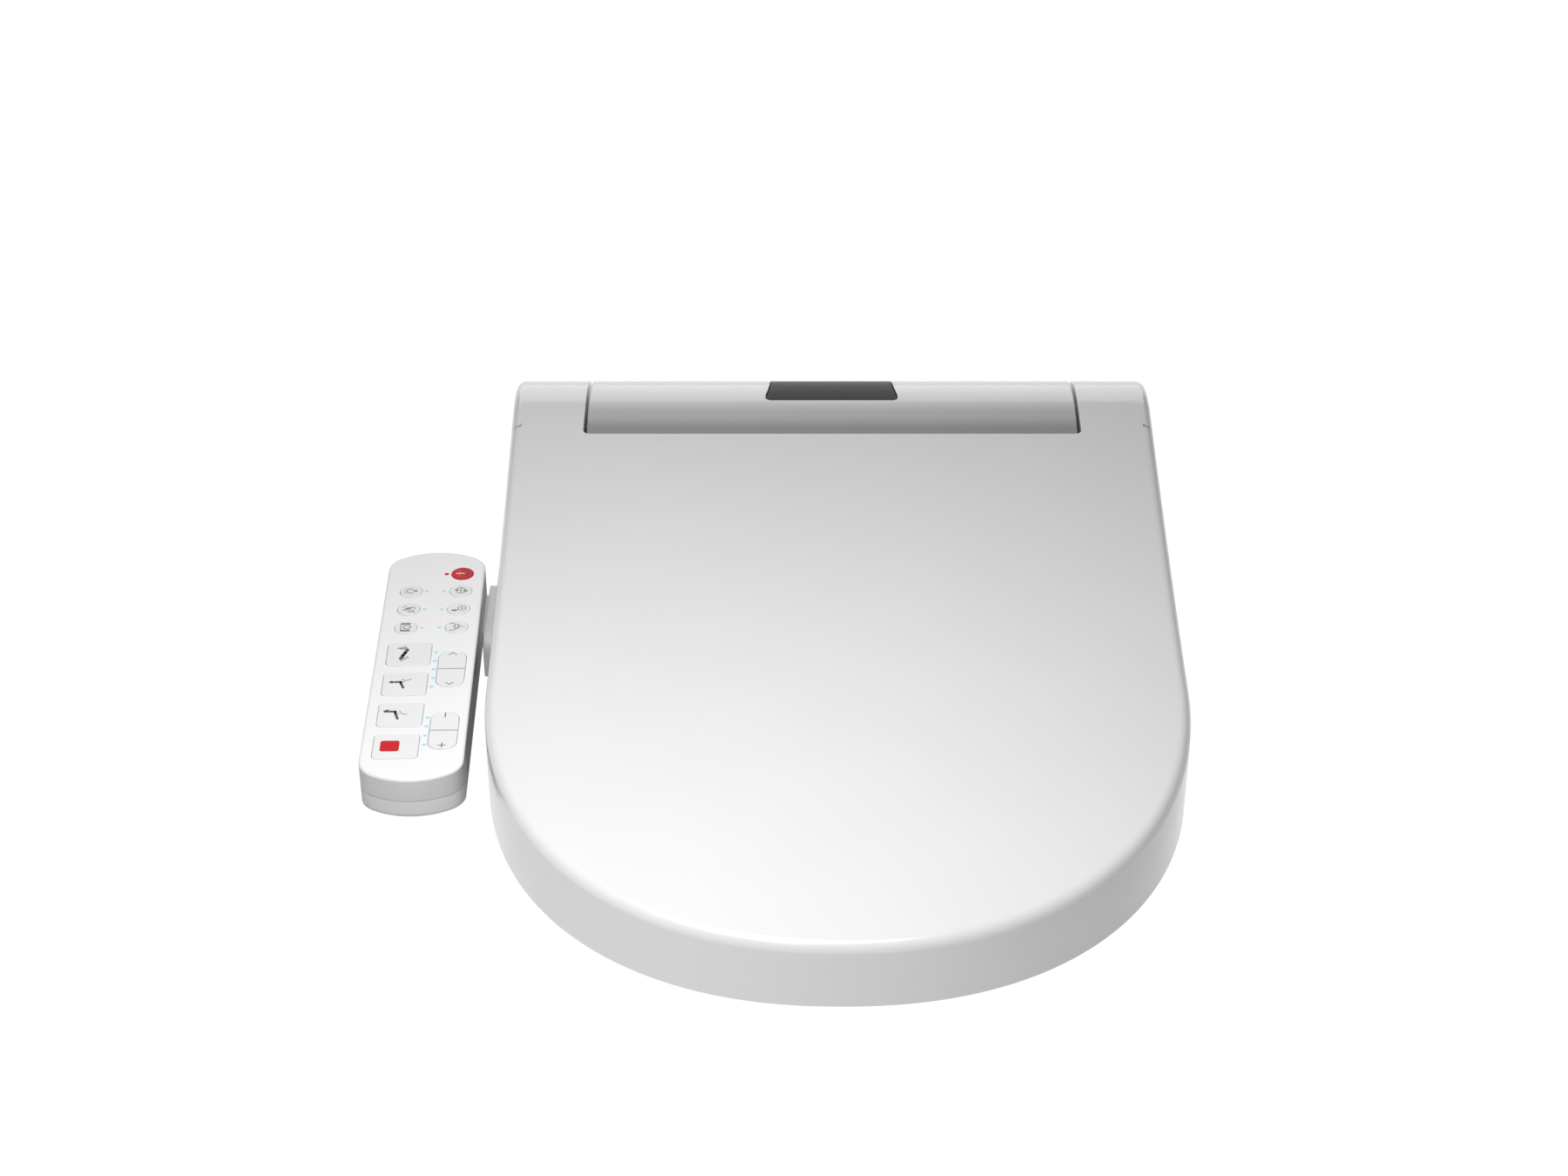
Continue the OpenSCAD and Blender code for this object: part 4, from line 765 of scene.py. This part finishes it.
def seat_half(s, rear, corner=6.0):
    out = [p for p in half_front(s)[:-1]]
    for y in spread(WIDE_Y, -rear - corner - 1, 20):
        out.append((side_x(y, s), y))
    xr = side_x(-rear - corner, s)
    for i in range(9):
        a = math.radians(90 * i / 8)
        out.append((xr - corner + corner * math.cos(a), -rear - corner + corner * math.sin(a)))
    for x in spread(xr - corner - 2, 0, 24):
        out.append((x, -rear))
    return out


def hole_loop(g, n=96):
    out = []
    for i in range(n):
        t = 2 * math.pi * i / n
        c, d = math.cos(t), math.sin(t)
        out.append(((HOLE_W / 2 + g) * math.copysign(abs(c) ** 0.92, c),
                    -(HOLE_F + HOLE_R) / 2 + ((HOLE_F - HOLE_R) / 2 + g) * math.copysign(abs(d) ** 0.92,
                            d)))
    return flip(out)


def whole2(half):
    return half + [(-p[0], p[1]) for p in reversed(half) if p[0] > 1e-6]


def seat_piece(name, z0, mat, top, inner_edge, wall, outer_edge, s_extra=0.0):
    b = Build()
    outer = whole2(seat_half(5.0 + s_extra, SEAT_REAR + s_extra))
    hole = hole_loop(0.0)
    flats = []
    for loop, r in ((outer, outer_edge), (hole, inner_edge)):
        nn = inward(loop)
        prev = b.ring(loop, [z0] * len(loop))
        first = prev
        for k in range(9):
            a = math.pi / 2 * k / 8
            pts = shrink(loop, r * (1 - math.cos(a)), nn)
            cur = b.ring(pts, [top(p[1]) - r * (1 - math.sin(a)) for p in pts])
            b.join(prev, cur)
            prev = cur
        flat = shrink(loop, r + 0.5, nn)
        cur = b.ring(flat, [top(p[1]) for p in flat])
        b.join(prev, cur)
        flats.append(flat)
        inner = shrink(loop, wall, nn)
        low = b.ring(inner, [z0] * len(inner))
        b.join(first, low)
        up = b.ring(inner, [top(p[1]) - wall for p in inner])
        b.join(low, up)
        flats.append(inner)
    b.lid([flats[0], flats[2]], lambda x, y: top(y))
    b.lid([flats[1], flats[3]], lambda x, y: top(y) - wall)
    return b.done(name, mat, 40)


seat_top = seat_piece("seat_top_skin", 20.0, "white_gloss", seat_plane, 7.0, 2.8, 10.0)
tunnel = box_mesh("tool_tunnel", -45, 45, -186, -58, 0, 27)
seat_top = cut(seat_top, [tunnel], 40)
put(seat_top, "seat", "white_gloss", "seat_shell")
LUG_IN = NOTCH_HW + 4.5
for side, name in ((1, "left"), (-1, "right")):
    prof = [(-79, 22), (-79, 43)]
    a_tan = math.radians(97)
    for i in range(25):
        a = math.radians(105 - (105 + 115) * i / 24)
        prof.append((HINGE_Y + 17 * math.cos(a), HINGE_Z + 17 * math.sin(a)))
    x0 = LUG_IN if side > 0 else -LUG_IN - 14
    lug = side_prism("seat_lug_" + name, prof, x0, x0 + 14, "white_gloss", 1.2)
    hole = turned("tool_lug", [(-30, 0.0), (-30, 5.05), (30, 5.05), (30, 0.0)], "white_gloss", "X",
            (side * (LUG_IN + 7), HINGE_Y, HINGE_Z), 64)
    lug = cut(lug, [hole], 32)
    put(lug, "seat", "white_gloss", "seat_shell")

# ---------- panel ----------

PX, PY, TOE = -231.5, -218.0, math.radians(1.2)
PZ, PT, SPLIT = 44.0, 26.0, 29.0
P_LEN, P_W, END_R, COR_R = 222.0, 56.5, 42.0, 14.0
LEFT_COL, RIGHT_COL, BAR_COL, ROCK_COL = -13.2, 15.6, -9.2, 15.6
ROUND_Y = [69.0, 50.4, 31.8]
BAR_Y = [5.2 - 28.9 * i for i in range(4)]
ROCK_Y = [-9.6, -67.6]
POWER_AT = (15.4, 87.0)
KEY_R, KEY_TOP = 6.4, 44.3
BAR_W, BAR_H, BAR_R = 24.7, 22, 2.6
ROCK_W, ROCK_H, ROCK_R = 15.5, 33.8, 6.4


def world(p):
    return (PX + p[0] * math.cos(TOE) - p[1] * math.sin(TOE), PY + p[0] * math.sin(TOE)
            + p[1] * math.cos(TOE))


def loop_world(loop):
    return [world(p) for p in loop]


def panel_loop(s=0.0):
    end_c = P_LEN / 2 - END_R
    cy = end_c + math.sqrt((END_R - COR_R) ** 2 - (P_W / 2 - COR_R) ** 2)
    ca = math.atan2(P_W / 2 - COR_R, cy - end_c)
    q = []
    for i in range(15):
        a = ca * i / 14
        q.append(((END_R - s) * math.sin(a), end_c + (END_R - s) * math.cos(a)))
    for i in range(1, 19):
        a = ca + (math.pi / 2 - ca) * i / 18
        q.append((P_W / 2 - COR_R + (COR_R - s) * math.sin(a), cy + (COR_R - s) * math.cos(a)))
    side = [(P_W / 2 - s, cy - 2 * cy * i / 12) for i in range(1, 12)]
    right = q + side + [(x, -y) for x, y in reversed(q)]
    left = [(-x, y) for x, y in reversed(right) if x > 1e-6]
    return flip(right + left)


dot_col = ROCK_COL - ROCK_W / 2 - 1.9
blue = [(dot_col - 10, y) for y in ROUND_Y] + [(dot_col, y) for y in ROUND_Y]
blue += [(dot_col, ROCK_Y[0] + (2 - k) * 8.3) for k in range(5)]
blue += [(dot_col, ROCK_Y[1] + (1.5 - k) * 8.3) for k in range(4)]
red_at = (POWER_AT[0] - 9.2, POWER_AT[1])
GAP = 0.25
holes = [circle(x, y, KEY_R + GAP) for x in (LEFT_COL, RIGHT_COL) for y in ROUND_Y]
holes.append(circle(*POWER_AT, KEY_R + GAP))
holes += [rounded(BAR_COL, y, BAR_W + 2 * GAP, BAR_H + 2 * GAP, BAR_R + GAP) for y in BAR_Y]
holes += [rounded(ROCK_COL, y, ROCK_W + 2 * GAP, ROCK_H + 3 * GAP, ROCK_R + GAP) for y in ROCK_Y]
holes += [circle(x, y, 1.1, 24) for x, y in blue] + [circle(*red_at, 1.3, 24)]
face = plate("panel_face", loop_world(panel_loop()), [flip(loop_world(h)) for h in holes], PZ - 2.0, PZ,
        "face_white", top=1.5, bottom=0.0, hole_edge=0.12, steps=6, angle=40)


def wall_ring(name, z0, z1, mat, low=0.3, high=0.0, wall=2.0):
    c = Build()
    outer, inner = loop_world(panel_loop()), loop_world(panel_loop(wall))
    nn = inward(outer)
    rings = []
    for i in range(5):
        a = math.pi / 2 * i / 4
        rings.append((low * (1 - math.sin(a)), z0 + low * (1 - math.cos(a))))
    for i in range(5):
        a = math.pi / 2 * i / 4
        rings.append((high * (1 - math.cos(a)), z1 - high * (1 - math.sin(a))))
    prev = None
    first = None
    for off, z in rings:
        cur = c.ring(shrink(outer, off, nn), [z] * len(outer))
        if prev:
            c.join(prev, cur)
        else:
            first = cur
        prev = cur
    top_in = c.ring(inner, [z1] * len(inner))
    low_in = c.ring(inner, [z0] * len(inner))
    c.join(prev, top_in)
    c.join(top_in, low_in)
    c.join(low_in, first)
    return c.done(name, mat, 40)


# this wall's material carries painted shade on its right side
skirt = wall_ring("panel_cover_wall", SPLIT, PZ - 1.9, "case_white", low=0.25)
put(face, "rear_body", "face_white", "panel_cover")
put(skirt, "rear_body", "face_white", "panel_cover")
# this wall's material carries painted shade on its right side
case_wall = wall_ring("panel_case_wall", PZ - PT + 0.9, SPLIT - 0.3, "case_white", low=0.0, high=0.2)
case_floor = plate("panel_case_floor", loop_world(panel_loop()), [], PZ - PT, PZ - PT + 2.0, "case_white",
        top=0.0, bottom=1.6, steps=5)
slot_tool = box_mesh("tool_slot", -216, -194.8, -164.2, -125.8, 20.3, 25.7)
case_wall = cut(case_wall, [slot_tool], 40)
put(case_wall, "rear_body", "face_white", "panel_case")
put(case_floor, "rear_body", "face_white", "panel_case")


# ---------- keys and marks ----------

def key_piece(name, loop, body, slot, mat, top=0.35, z1=KEY_TOP):
    ob = plate(name + "_cap", loop_world(loop), [], PZ - 4.4, z1, mat, top=top, bottom=0.0, steps=4)
    put(ob, body, slot, body)
    return ob


def ribbon(pts, w, z):
    """A flat stroke with round ends, as loops of its own."""
    loops = []
    for (x0, y0), (x1, y1) in zip(pts, pts[1:]):
        d = Vector((x1 - x0, y1 - y0))
        n = max(1e-6, d.length)
        u = d / n
        a0 = math.atan2(u.y, u.x)
        out = []
        for i in range(9):
            a = a0 - math.pi / 2 + math.pi * i / 8
            out.append((x1 + w / 2 * math.cos(a), y1 + w / 2 * math.sin(a)))
        for i in range(9):
            a = a0 + math.pi / 2 + math.pi * i / 8
            out.append((x0 + w / 2 * math.cos(a), y0 + w / 2 * math.sin(a)))
        loops.append(out)
    return loops


def mark(name, at, loops, body, mat="print_grey", z=KEY_TOP, thick=0.03):
    """Printed mark: each loop becomes a thin raised patch on the key."""
    v, f = [], []
    for loop in loops:
        pts = loop_world([(at[0] + x, at[1] + y) for x, y in loop])
        k = len(v)
        n = len(pts)
        v += [(x, y, z - 0.02) for x, y in pts] + [(x, y, z + thick) for x, y in pts]
        f.append(tuple(range(k + n, k + 2 * n)))
        f.append(tuple(reversed(range(k, k + n))))
        f += [(k + i, k + (i + 1) % n, k + n + (i + 1) % n, k + n + i) for i in range(n)]
    me = bpy.data.meshes.new(name)
    me.from_pydata([(x * MM, y * MM, q * MM) for x, y, q in v], [], f)
    me.materials.append(M[mat])
    ob = bpy.data.objects.new(name, me)
    bpy.context.scene.collection.objects.link(ob)
    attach(ob, body)
    return ob


def oval(x, y, rx, ry, n=28, a0=0.0, a1=360.0):
    return [(x + rx * math.cos(math.radians(a0 + (a1 - a0) * i / n)), y
            + ry * math.sin(math.radians(a0 + (a1 - a0) * i / n))) for i in range(n
            + (0 if a1 - a0 == 360 else 1))]


def ring_strokes(pts, w, closed=True):
    return ribbon(pts + ([pts[0]] if closed else []), w, 0)


# power
key_piece("power", circle(*POWER_AT, KEY_R, 64), "power_key", "key_red", "key_red")
power_mark = ring_strokes(oval(0.6, 0, 2.9, 2.9, 30, -142, 142), 0.62,
        False) + ribbon([(-3.6, 0), (1.0, 0)], 0.7, 0)
mark("power_mark", POWER_AT, power_mark, "power_key", "print_white")

# light: a bulb with rays
light = ring_strokes([(1.9, 0.55), (1.0, 1.3), (0.0, 1.65), (-1.1, 1.6), (-2.0, 1.1), (-2.5, 0.35),
        (-2.5, -0.35), (-2.0, -1.1), (-1.1, -1.6), (0.0, -1.65), (1.0, -1.3), (1.9, -0.55)], 0.36, False)
light += ribbon([(2.2, 0.5), (2.2, -0.5)], 0.5, 0) + ribbon([(2.9, 0.4), (2.9, -0.4)], 0.7,
        0) + ribbon([(3.5, 0.2), (3.5, -0.2)], 0.6, 0)
for a in (70, 95, 120, 145, 180, 215, 240, 265, 290):
    c, d = math.cos(math.radians(a)), math.sin(math.radians(a))
    light += ribbon([(-0.6 + 2.9 * c, 2.5 * d), (-0.6 + 3.6 * c, 3.2 * d)], 0.36, 0)
mark("light_mark", (LEFT_COL, ROUND_Y[0]), light, "light_key")

# clean: a hand under drops
clean = []
for i in range(4):
    o = i * 1.15
    clean += ribbon([(-3.3 + o, -1.6 + 0.25 * i), (-1.2 + o, 0.9 + 0.25 * i), (-0.6 + o, 1.2 + 0.25 * i)],
            0.42, 0)
clean += ribbon([(-0.6, -2.6), (1.5, -1.6), (3.2, -2.4)], 0.42,
        0) + ribbon([(0.4, -3.4), (2.2, -2.6), (3.8, -3.3)], 0.42, 0)
clean += ribbon([(2.9, 1.9), (3.7, 0.8), (3.4, -0.5)], 0.42, 0)
for x, y in ((-3.4, 1.6), (-2.7, 2.6), (-1.6, 2.2), (-2.0, 3.2)):
    clean.append(oval(x, y, 0.28, 0.32, 12))
mark("clean_mark", (LEFT_COL, ROUND_Y[1]), clean, "clean_key")

# seat temperature
seat_m = ribbon([(-2.6, 3.4), (2.0, 3.4)], 1.3, 0) + ribbon([(-2.6, -3.4), (2.0, -3.4)], 1.3,
        0) + ribbon([(-2.9, 3.4), (-2.9, -3.4)], 0.4, 0)
seat_m += ring_strokes([(2.9, 0.0), (2.2, 1.1), (1.0, 1.7), (-0.3, 1.6), (-1.2, 0.9), (-1.4, 0.0),
        (-1.2, -0.9), (-0.3, -1.6), (1.0, -1.7), (2.2, -1.1)], 0.5)
mark("seat_temp_mark", (LEFT_COL, ROUND_Y[2]), seat_m, "seat_temp_key")

# deodorizer: crossed blades
deo = ring_strokes(oval(0, 0, 2.4, 3.1, 24), 0.36) + ribbon([(-3.5, 0.4), (-2.2, 0.2), (3.2, -0.1)], 0.36,
        0) + ribbon([(0, 3.2), (0.1, -3.0)], 0.36, 0)
deo += ribbon([(-3.4, 0.3), (-2.6, 1.2), (-1.6, 1.8)], 0.4,
        0) + ribbon([(3.9, -0.3), (2.8, -1.4), (1.6, -2.2)], 0.5, 0) + ribbon([(3.9, -0.3), (2.6, 0.9)],
        0.4, 0)
mark("deodorizer_mark", (RIGHT_COL, ROUND_Y[0]), deo, "deodorizer_key")

# economy: a plug and its socket
eco = ring_strokes(oval(1.9, 0.3, 2.2, 2.2, 26), 0.4) + [oval(1.9, 0.3, 0.6, 0.6, 14)]
eco += ribbon([(-0.4, -0.9), (-0.9, -1.6)], 0.35, 0) + ribbon([(-3.3, -1.9), (-1.5, -1.9)], 1.3,
        0) + ribbon([(-4.1, -1.9), (-3.3, -1.9)], 0.4, 0)
mark("eco_mark", (RIGHT_COL, ROUND_Y[1]), eco, "eco_key")

# water temperature: waves and drops
wat = ribbon([(-3.9, 3.3), (-2.4, 3.5), (-0.9, 2.9), (-0.4, 1.8), (-1.0, 0.7), (-1.8, 0.1), (-1.0, -0.5),
        (-0.2, -1.6), (-0.8, -2.9), (-2.3, -3.5), (-4.0, -3.5)], 0.45, 0)
wat += ribbon([(1.0, 2.8), (0.8, 1.5), (1.4, 0.2), (0.7, -1.1), (0.4, -2.4)], 0.5,
        0) + ribbon([(1.5, 0.2), (2.3, 0.2)], 0.5, 0)
wat += [oval(3.2, 0.1, 0.42, 0.42, 12), oval(2.0, 1.9, 0.36, 0.36, 12), oval(1.9, -1.6, 0.36, 0.36, 12),
        oval(4.3, 0.1, 0.3, 0.3, 12)]
mark("water_temp_mark", (RIGHT_COL, ROUND_Y[2]), wat, "water_temp_key")

for nm, i, xs in (("light_key", 0, LEFT_COL), ("clean_key", 1, LEFT_COL), ("seat_temp_key", 2, LEFT_COL),
        ("deodorizer_key", 0, RIGHT_COL), ("eco_key", 1, RIGHT_COL), ("water_temp_key", 2, RIGHT_COL)):
    key_piece(nm, circle(xs, ROUND_Y[i], KEY_R, 64), nm, "face_white", "key_white")
for nm, i in (("dry_key", 0), ("rear_wash_key", 1), ("front_wash_key", 2), ("stop_key", 3)):
    key_piece(nm, rounded(BAR_COL, BAR_Y[i], BAR_W, BAR_H, BAR_R), nm, "face_white", "key_white")

# dry: a fanned stream of air
dry = ribbon([(0.2, 3.8), (-0.9, 1.0), (-1.9, -1.6), (-2.9, -4.6)], 2.1, 0)
for k in range(5):
    dry += ribbon([(0.9 - 1.05 * k, 4.0 + 0.2 * k), (-1.4 - 1.0 * k, 7.6 - 0.5 * k)], 0.5, 0)
    dry += ribbon([(-3.3 + 0.95 * k, -4.8 + 0.55 * k), (-2.4 + 0.95 * k, -7.2 + 0.75 * k)], 0.45, 0)
mark("dry_mark", (BAR_COL - 1.4, BAR_Y[0]), dry, "dry_key")

# two seated figures with a spray of dots
rear_m = [oval(-7.4, 1.6, 1.35, 1.15, 20)] + ribbon([(-5.3, 1.6), (-2.2, 1.8)], 1.75,
        0) + ribbon([(-2.3, 1.6), (-2.2, 0.2)], 1.5, 0) + ribbon([(-2.0, 0.0), (-0.5, -3.9)], 1.5, 0)
rear_m += [oval(x, y, 0.42, 0.42, 12) for x,
        y in ((3.1, 4.2), (2.1, 3.6), (1.1, 3.1), (0.1, 2.6), (-0.6, 1.6), (-1.6, 4.1), (-0.6, 3.3))]
mark("rear_wash_mark", (BAR_COL, BAR_Y[1]), rear_m, "rear_wash_key")
front_m = [oval(-8.0, 2.9, 1.5, 1.15, 20)] + ribbon([(-8.0, 3.4), (-6.9, 4.4)], 0.8,
        0) + ribbon([(-6.0, 2.7), (-2.9, 2.7)], 1.75, 0) + ribbon([(-2.9, 2.6), (-2.8, 1.0)], 1.5,
        0) + ribbon([(-2.7, 0.9), (-1.2, -4.0)], 1.5, 0)
front_m += [oval(x, y, 0.42, 0.42, 12) for x,
        y in ((3.2, -0.2), (2.1, 0.3), (1.0, 0.8), (0.0, 1.5), (-0.4, 2.9), (-1.2, 0.6))]
mark("front_wash_mark", (BAR_COL, BAR_Y[2]), front_m, "front_wash_key")
mark("stop_mark", (BAR_COL - 3.3, BAR_Y[3]), [rounded(0, 0, 10.4, 9.6, 1.5)], "stop_key", "key_red")

# rockers with a crease across the middle, drawn as a grey band of painted shade on the flat cap
for nm, y in (("position_rocker", ROCK_Y[0]), ("strength_rocker", ROCK_Y[1])):
    ob = plate(nm + "_cap", loop_world(rounded(ROCK_COL, y, ROCK_W, ROCK_H, ROCK_R, 12)), [], PZ - 4.2,
            KEY_TOP, "key_white", top=0.4, bottom=0.0, steps=4)
    put(ob, nm, "face_white", nm)
    mark(nm + "_band", (ROCK_COL, y), [rounded(0, 0, 15.0, 1.0, 0.3, 3)], nm, "painted_crease_shade", thick=0.012)
pos_m = ribbon([(-2.3, -1.2), (0, 1.0), (2.3, -1.2)], 0.5, 0)
mark("position_mark_rear", (ROCK_COL, ROCK_Y[0] + 14.6), pos_m, "position_rocker")
pos_m = ribbon([(-2.2, 1.2), (0, -1.0), (2.2, 1.2)], 0.5, 0)
mark("position_mark_front", (ROCK_COL, ROCK_Y[0] - 14.4), pos_m, "position_rocker")
mark("strength_mark_minus", (ROCK_COL, ROCK_Y[1] + 14.0), ribbon([(0, -1.9), (0, 1.9)], 0.6, 0),
        "strength_rocker")
mark("strength_mark_plus", (ROCK_COL, ROCK_Y[1] - 13.6), ribbon([(0, -2.1), (0, 2.1)], 0.55, 0)
        + ribbon([(-2.1, 0), (2.1, 0)], 0.55, 0), "strength_rocker")


def lamp(name, spots, r, mat, slot, node):
    v, f = [], []
    n = 20
    for p in spots:
        x, y = world(p)
        k = len(v)
        rows = [(r, PZ - 2.0), (r, PZ - 0.02), (r * 0.86, PZ + 0.05), (r * 0.5, PZ + 0.1)]
        for rr, z in rows:
            v += [(x + rr * math.cos(2 * math.pi * i / n), y + rr * math.sin(2 * math.pi * i / n), z)
                    for i in range(n)]
        for j in range(3):
            f += [(k + j * n + i, k + j * n + (i + 1) % n, k + (j + 1) * n + (i + 1) % n, k + (j + 1) * n
                    + i) for i in range(n)]
        f.append(tuple(k + 3 * n + i for i in range(n)))
        f.append(tuple(k + i for i in reversed(range(n))))
    ob = mesh_object(name, v, f, mat)
    put(ob, "rear_body", slot, node)


lamp("blue_lamp_lenses", blue, 1.08, "lamp_blue", "lamp_blue", "blue_lights")
lamp("red_lamp_lens", [red_at], 1.28, "lamp_red", "lamp_red", "red_light")

# ---------- arm ----------

arm_prof = [(-174, 0.8)]
for i in range(13):
    a = math.radians(180 - 90 * i / 12)
    arm_prof.append((-164 + 10 * math.cos(a), 17 + 10 * math.sin(a)))
arm_prof += [(-118.5, 27), (-117.6, 26.8), (-116.9, 26.3), (-116.3, 25.4), (-116, 24), (-116, 0.8)]
riser = side_prism("panel_arm_riser", arm_prof, -203.8, -197.2, "white_matte", 0.8)
foot = box_mesh("panel_arm_foot", -197.4, -149.7, -168, -60, 0.8, 6.2)
tab = box_mesh("panel_arm_tab", -185.1, -155.0, -60.2, -41, 0.8, 6.2)
tongue = box_mesh("panel_arm_tongue", -211.8, -203.6, -164, -126, 20.5, 25.5)
arm = joined("panel_arm_skin", [riser, foot, tab, tongue])
put(arm, "rear_body", "white_matte", "panel_arm")

# ---------- the other nodes keep their CAD shape ----------

SLOTS = {p["node"]: p["material_slot"] for p in frame["record"]["subparts"]}
for name, ob in frame["nodes"].items():
    ob.data.materials.clear()
    ob.data.materials.append(M[SLOTS[name]])

# ---------- stage ----------

floor_mat = material("floor_pale", (0.85, 0.85, 0.85), rough=0.9, mottle=0.01, mottle_scale=3)
tree = floor_mat.node_tree
glow = tree.nodes.new("ShaderNodeEmission")
glow.inputs["Color"].default_value = (1, 1, 1, 1)
glow.inputs["Strength"].default_value = 1.03
path = tree.nodes.new("ShaderNodeLightPath")
pick = tree.nodes.new("ShaderNodeMixShader")
seen = tree.nodes.new("ShaderNodeMath")
seen.operation = "MAXIMUM"
tree.links.new(path.outputs["Is Camera Ray"], seen.inputs[0])
tree.links.new(path.outputs["Is Glossy Ray"], seen.inputs[1])
tree.links.new(seen.outputs["Value"], pick.inputs["Fac"])
tree.links.new(tree.nodes["Principled BSDF"].outputs["BSDF"], pick.inputs[1])
tree.links.new(glow.outputs["Emission"], pick.inputs[2])
tree.links.new(pick.outputs["Shader"], tree.nodes["Material Output"].inputs["Surface"])
bpy.ops.mesh.primitive_plane_add(size=14, location=(0, 0, -0.0004))
floor = bpy.context.object
floor.name = "floor_plane"
floor.data.materials.append(floor_mat)


def area(name, at, aim, size, energy, size_y=None):
    light = bpy.data.lights.new(name, "AREA")
    light.energy = energy
    light.shape = "RECTANGLE"
    light.size = size
    light.size_y = size_y or size
    ob = bpy.data.objects.new(name, light)
    ob.location = at
    ob.rotation_euler = (Vector(aim) - Vector(at)).to_track_quat("-Z", "Y").to_euler()
    bpy.context.scene.collection.objects.link(ob)
    return ob


area("rear_light", (0.0, 2.3, 0.66), (0, 0, 0.05), 2.4, 14.5, 1.4)
area("front_light", (-0.15, -0.56, 0.68), (-0.07, -0.46, 0), 0.45, 5.2)
world_data = bpy.data.worlds.new("studio")
world_data.use_nodes = True
bg = world_data.node_tree.nodes["Background"]
bg.inputs["Color"].default_value = (1, 1, 1, 1)
bg.inputs["Strength"].default_value = 0.18
bpy.context.scene.world = world_data
bpy.context.scene.view_settings.view_transform = "Standard"

cam_data = bpy.data.cameras.new("view_camera")
cam_data.sensor_width = 36
cam_data.lens = 69.46
cam_data.shift_x = -0.00283
cam = bpy.data.objects.new("view_camera", cam_data)
cam.location = (-0.02667, -1.6112, 1.02506)
cam.rotation_euler = (math.radians(90 - 33.8), 0, 0)
bpy.context.scene.collection.objects.link(cam)
bpy.context.scene.camera = cam
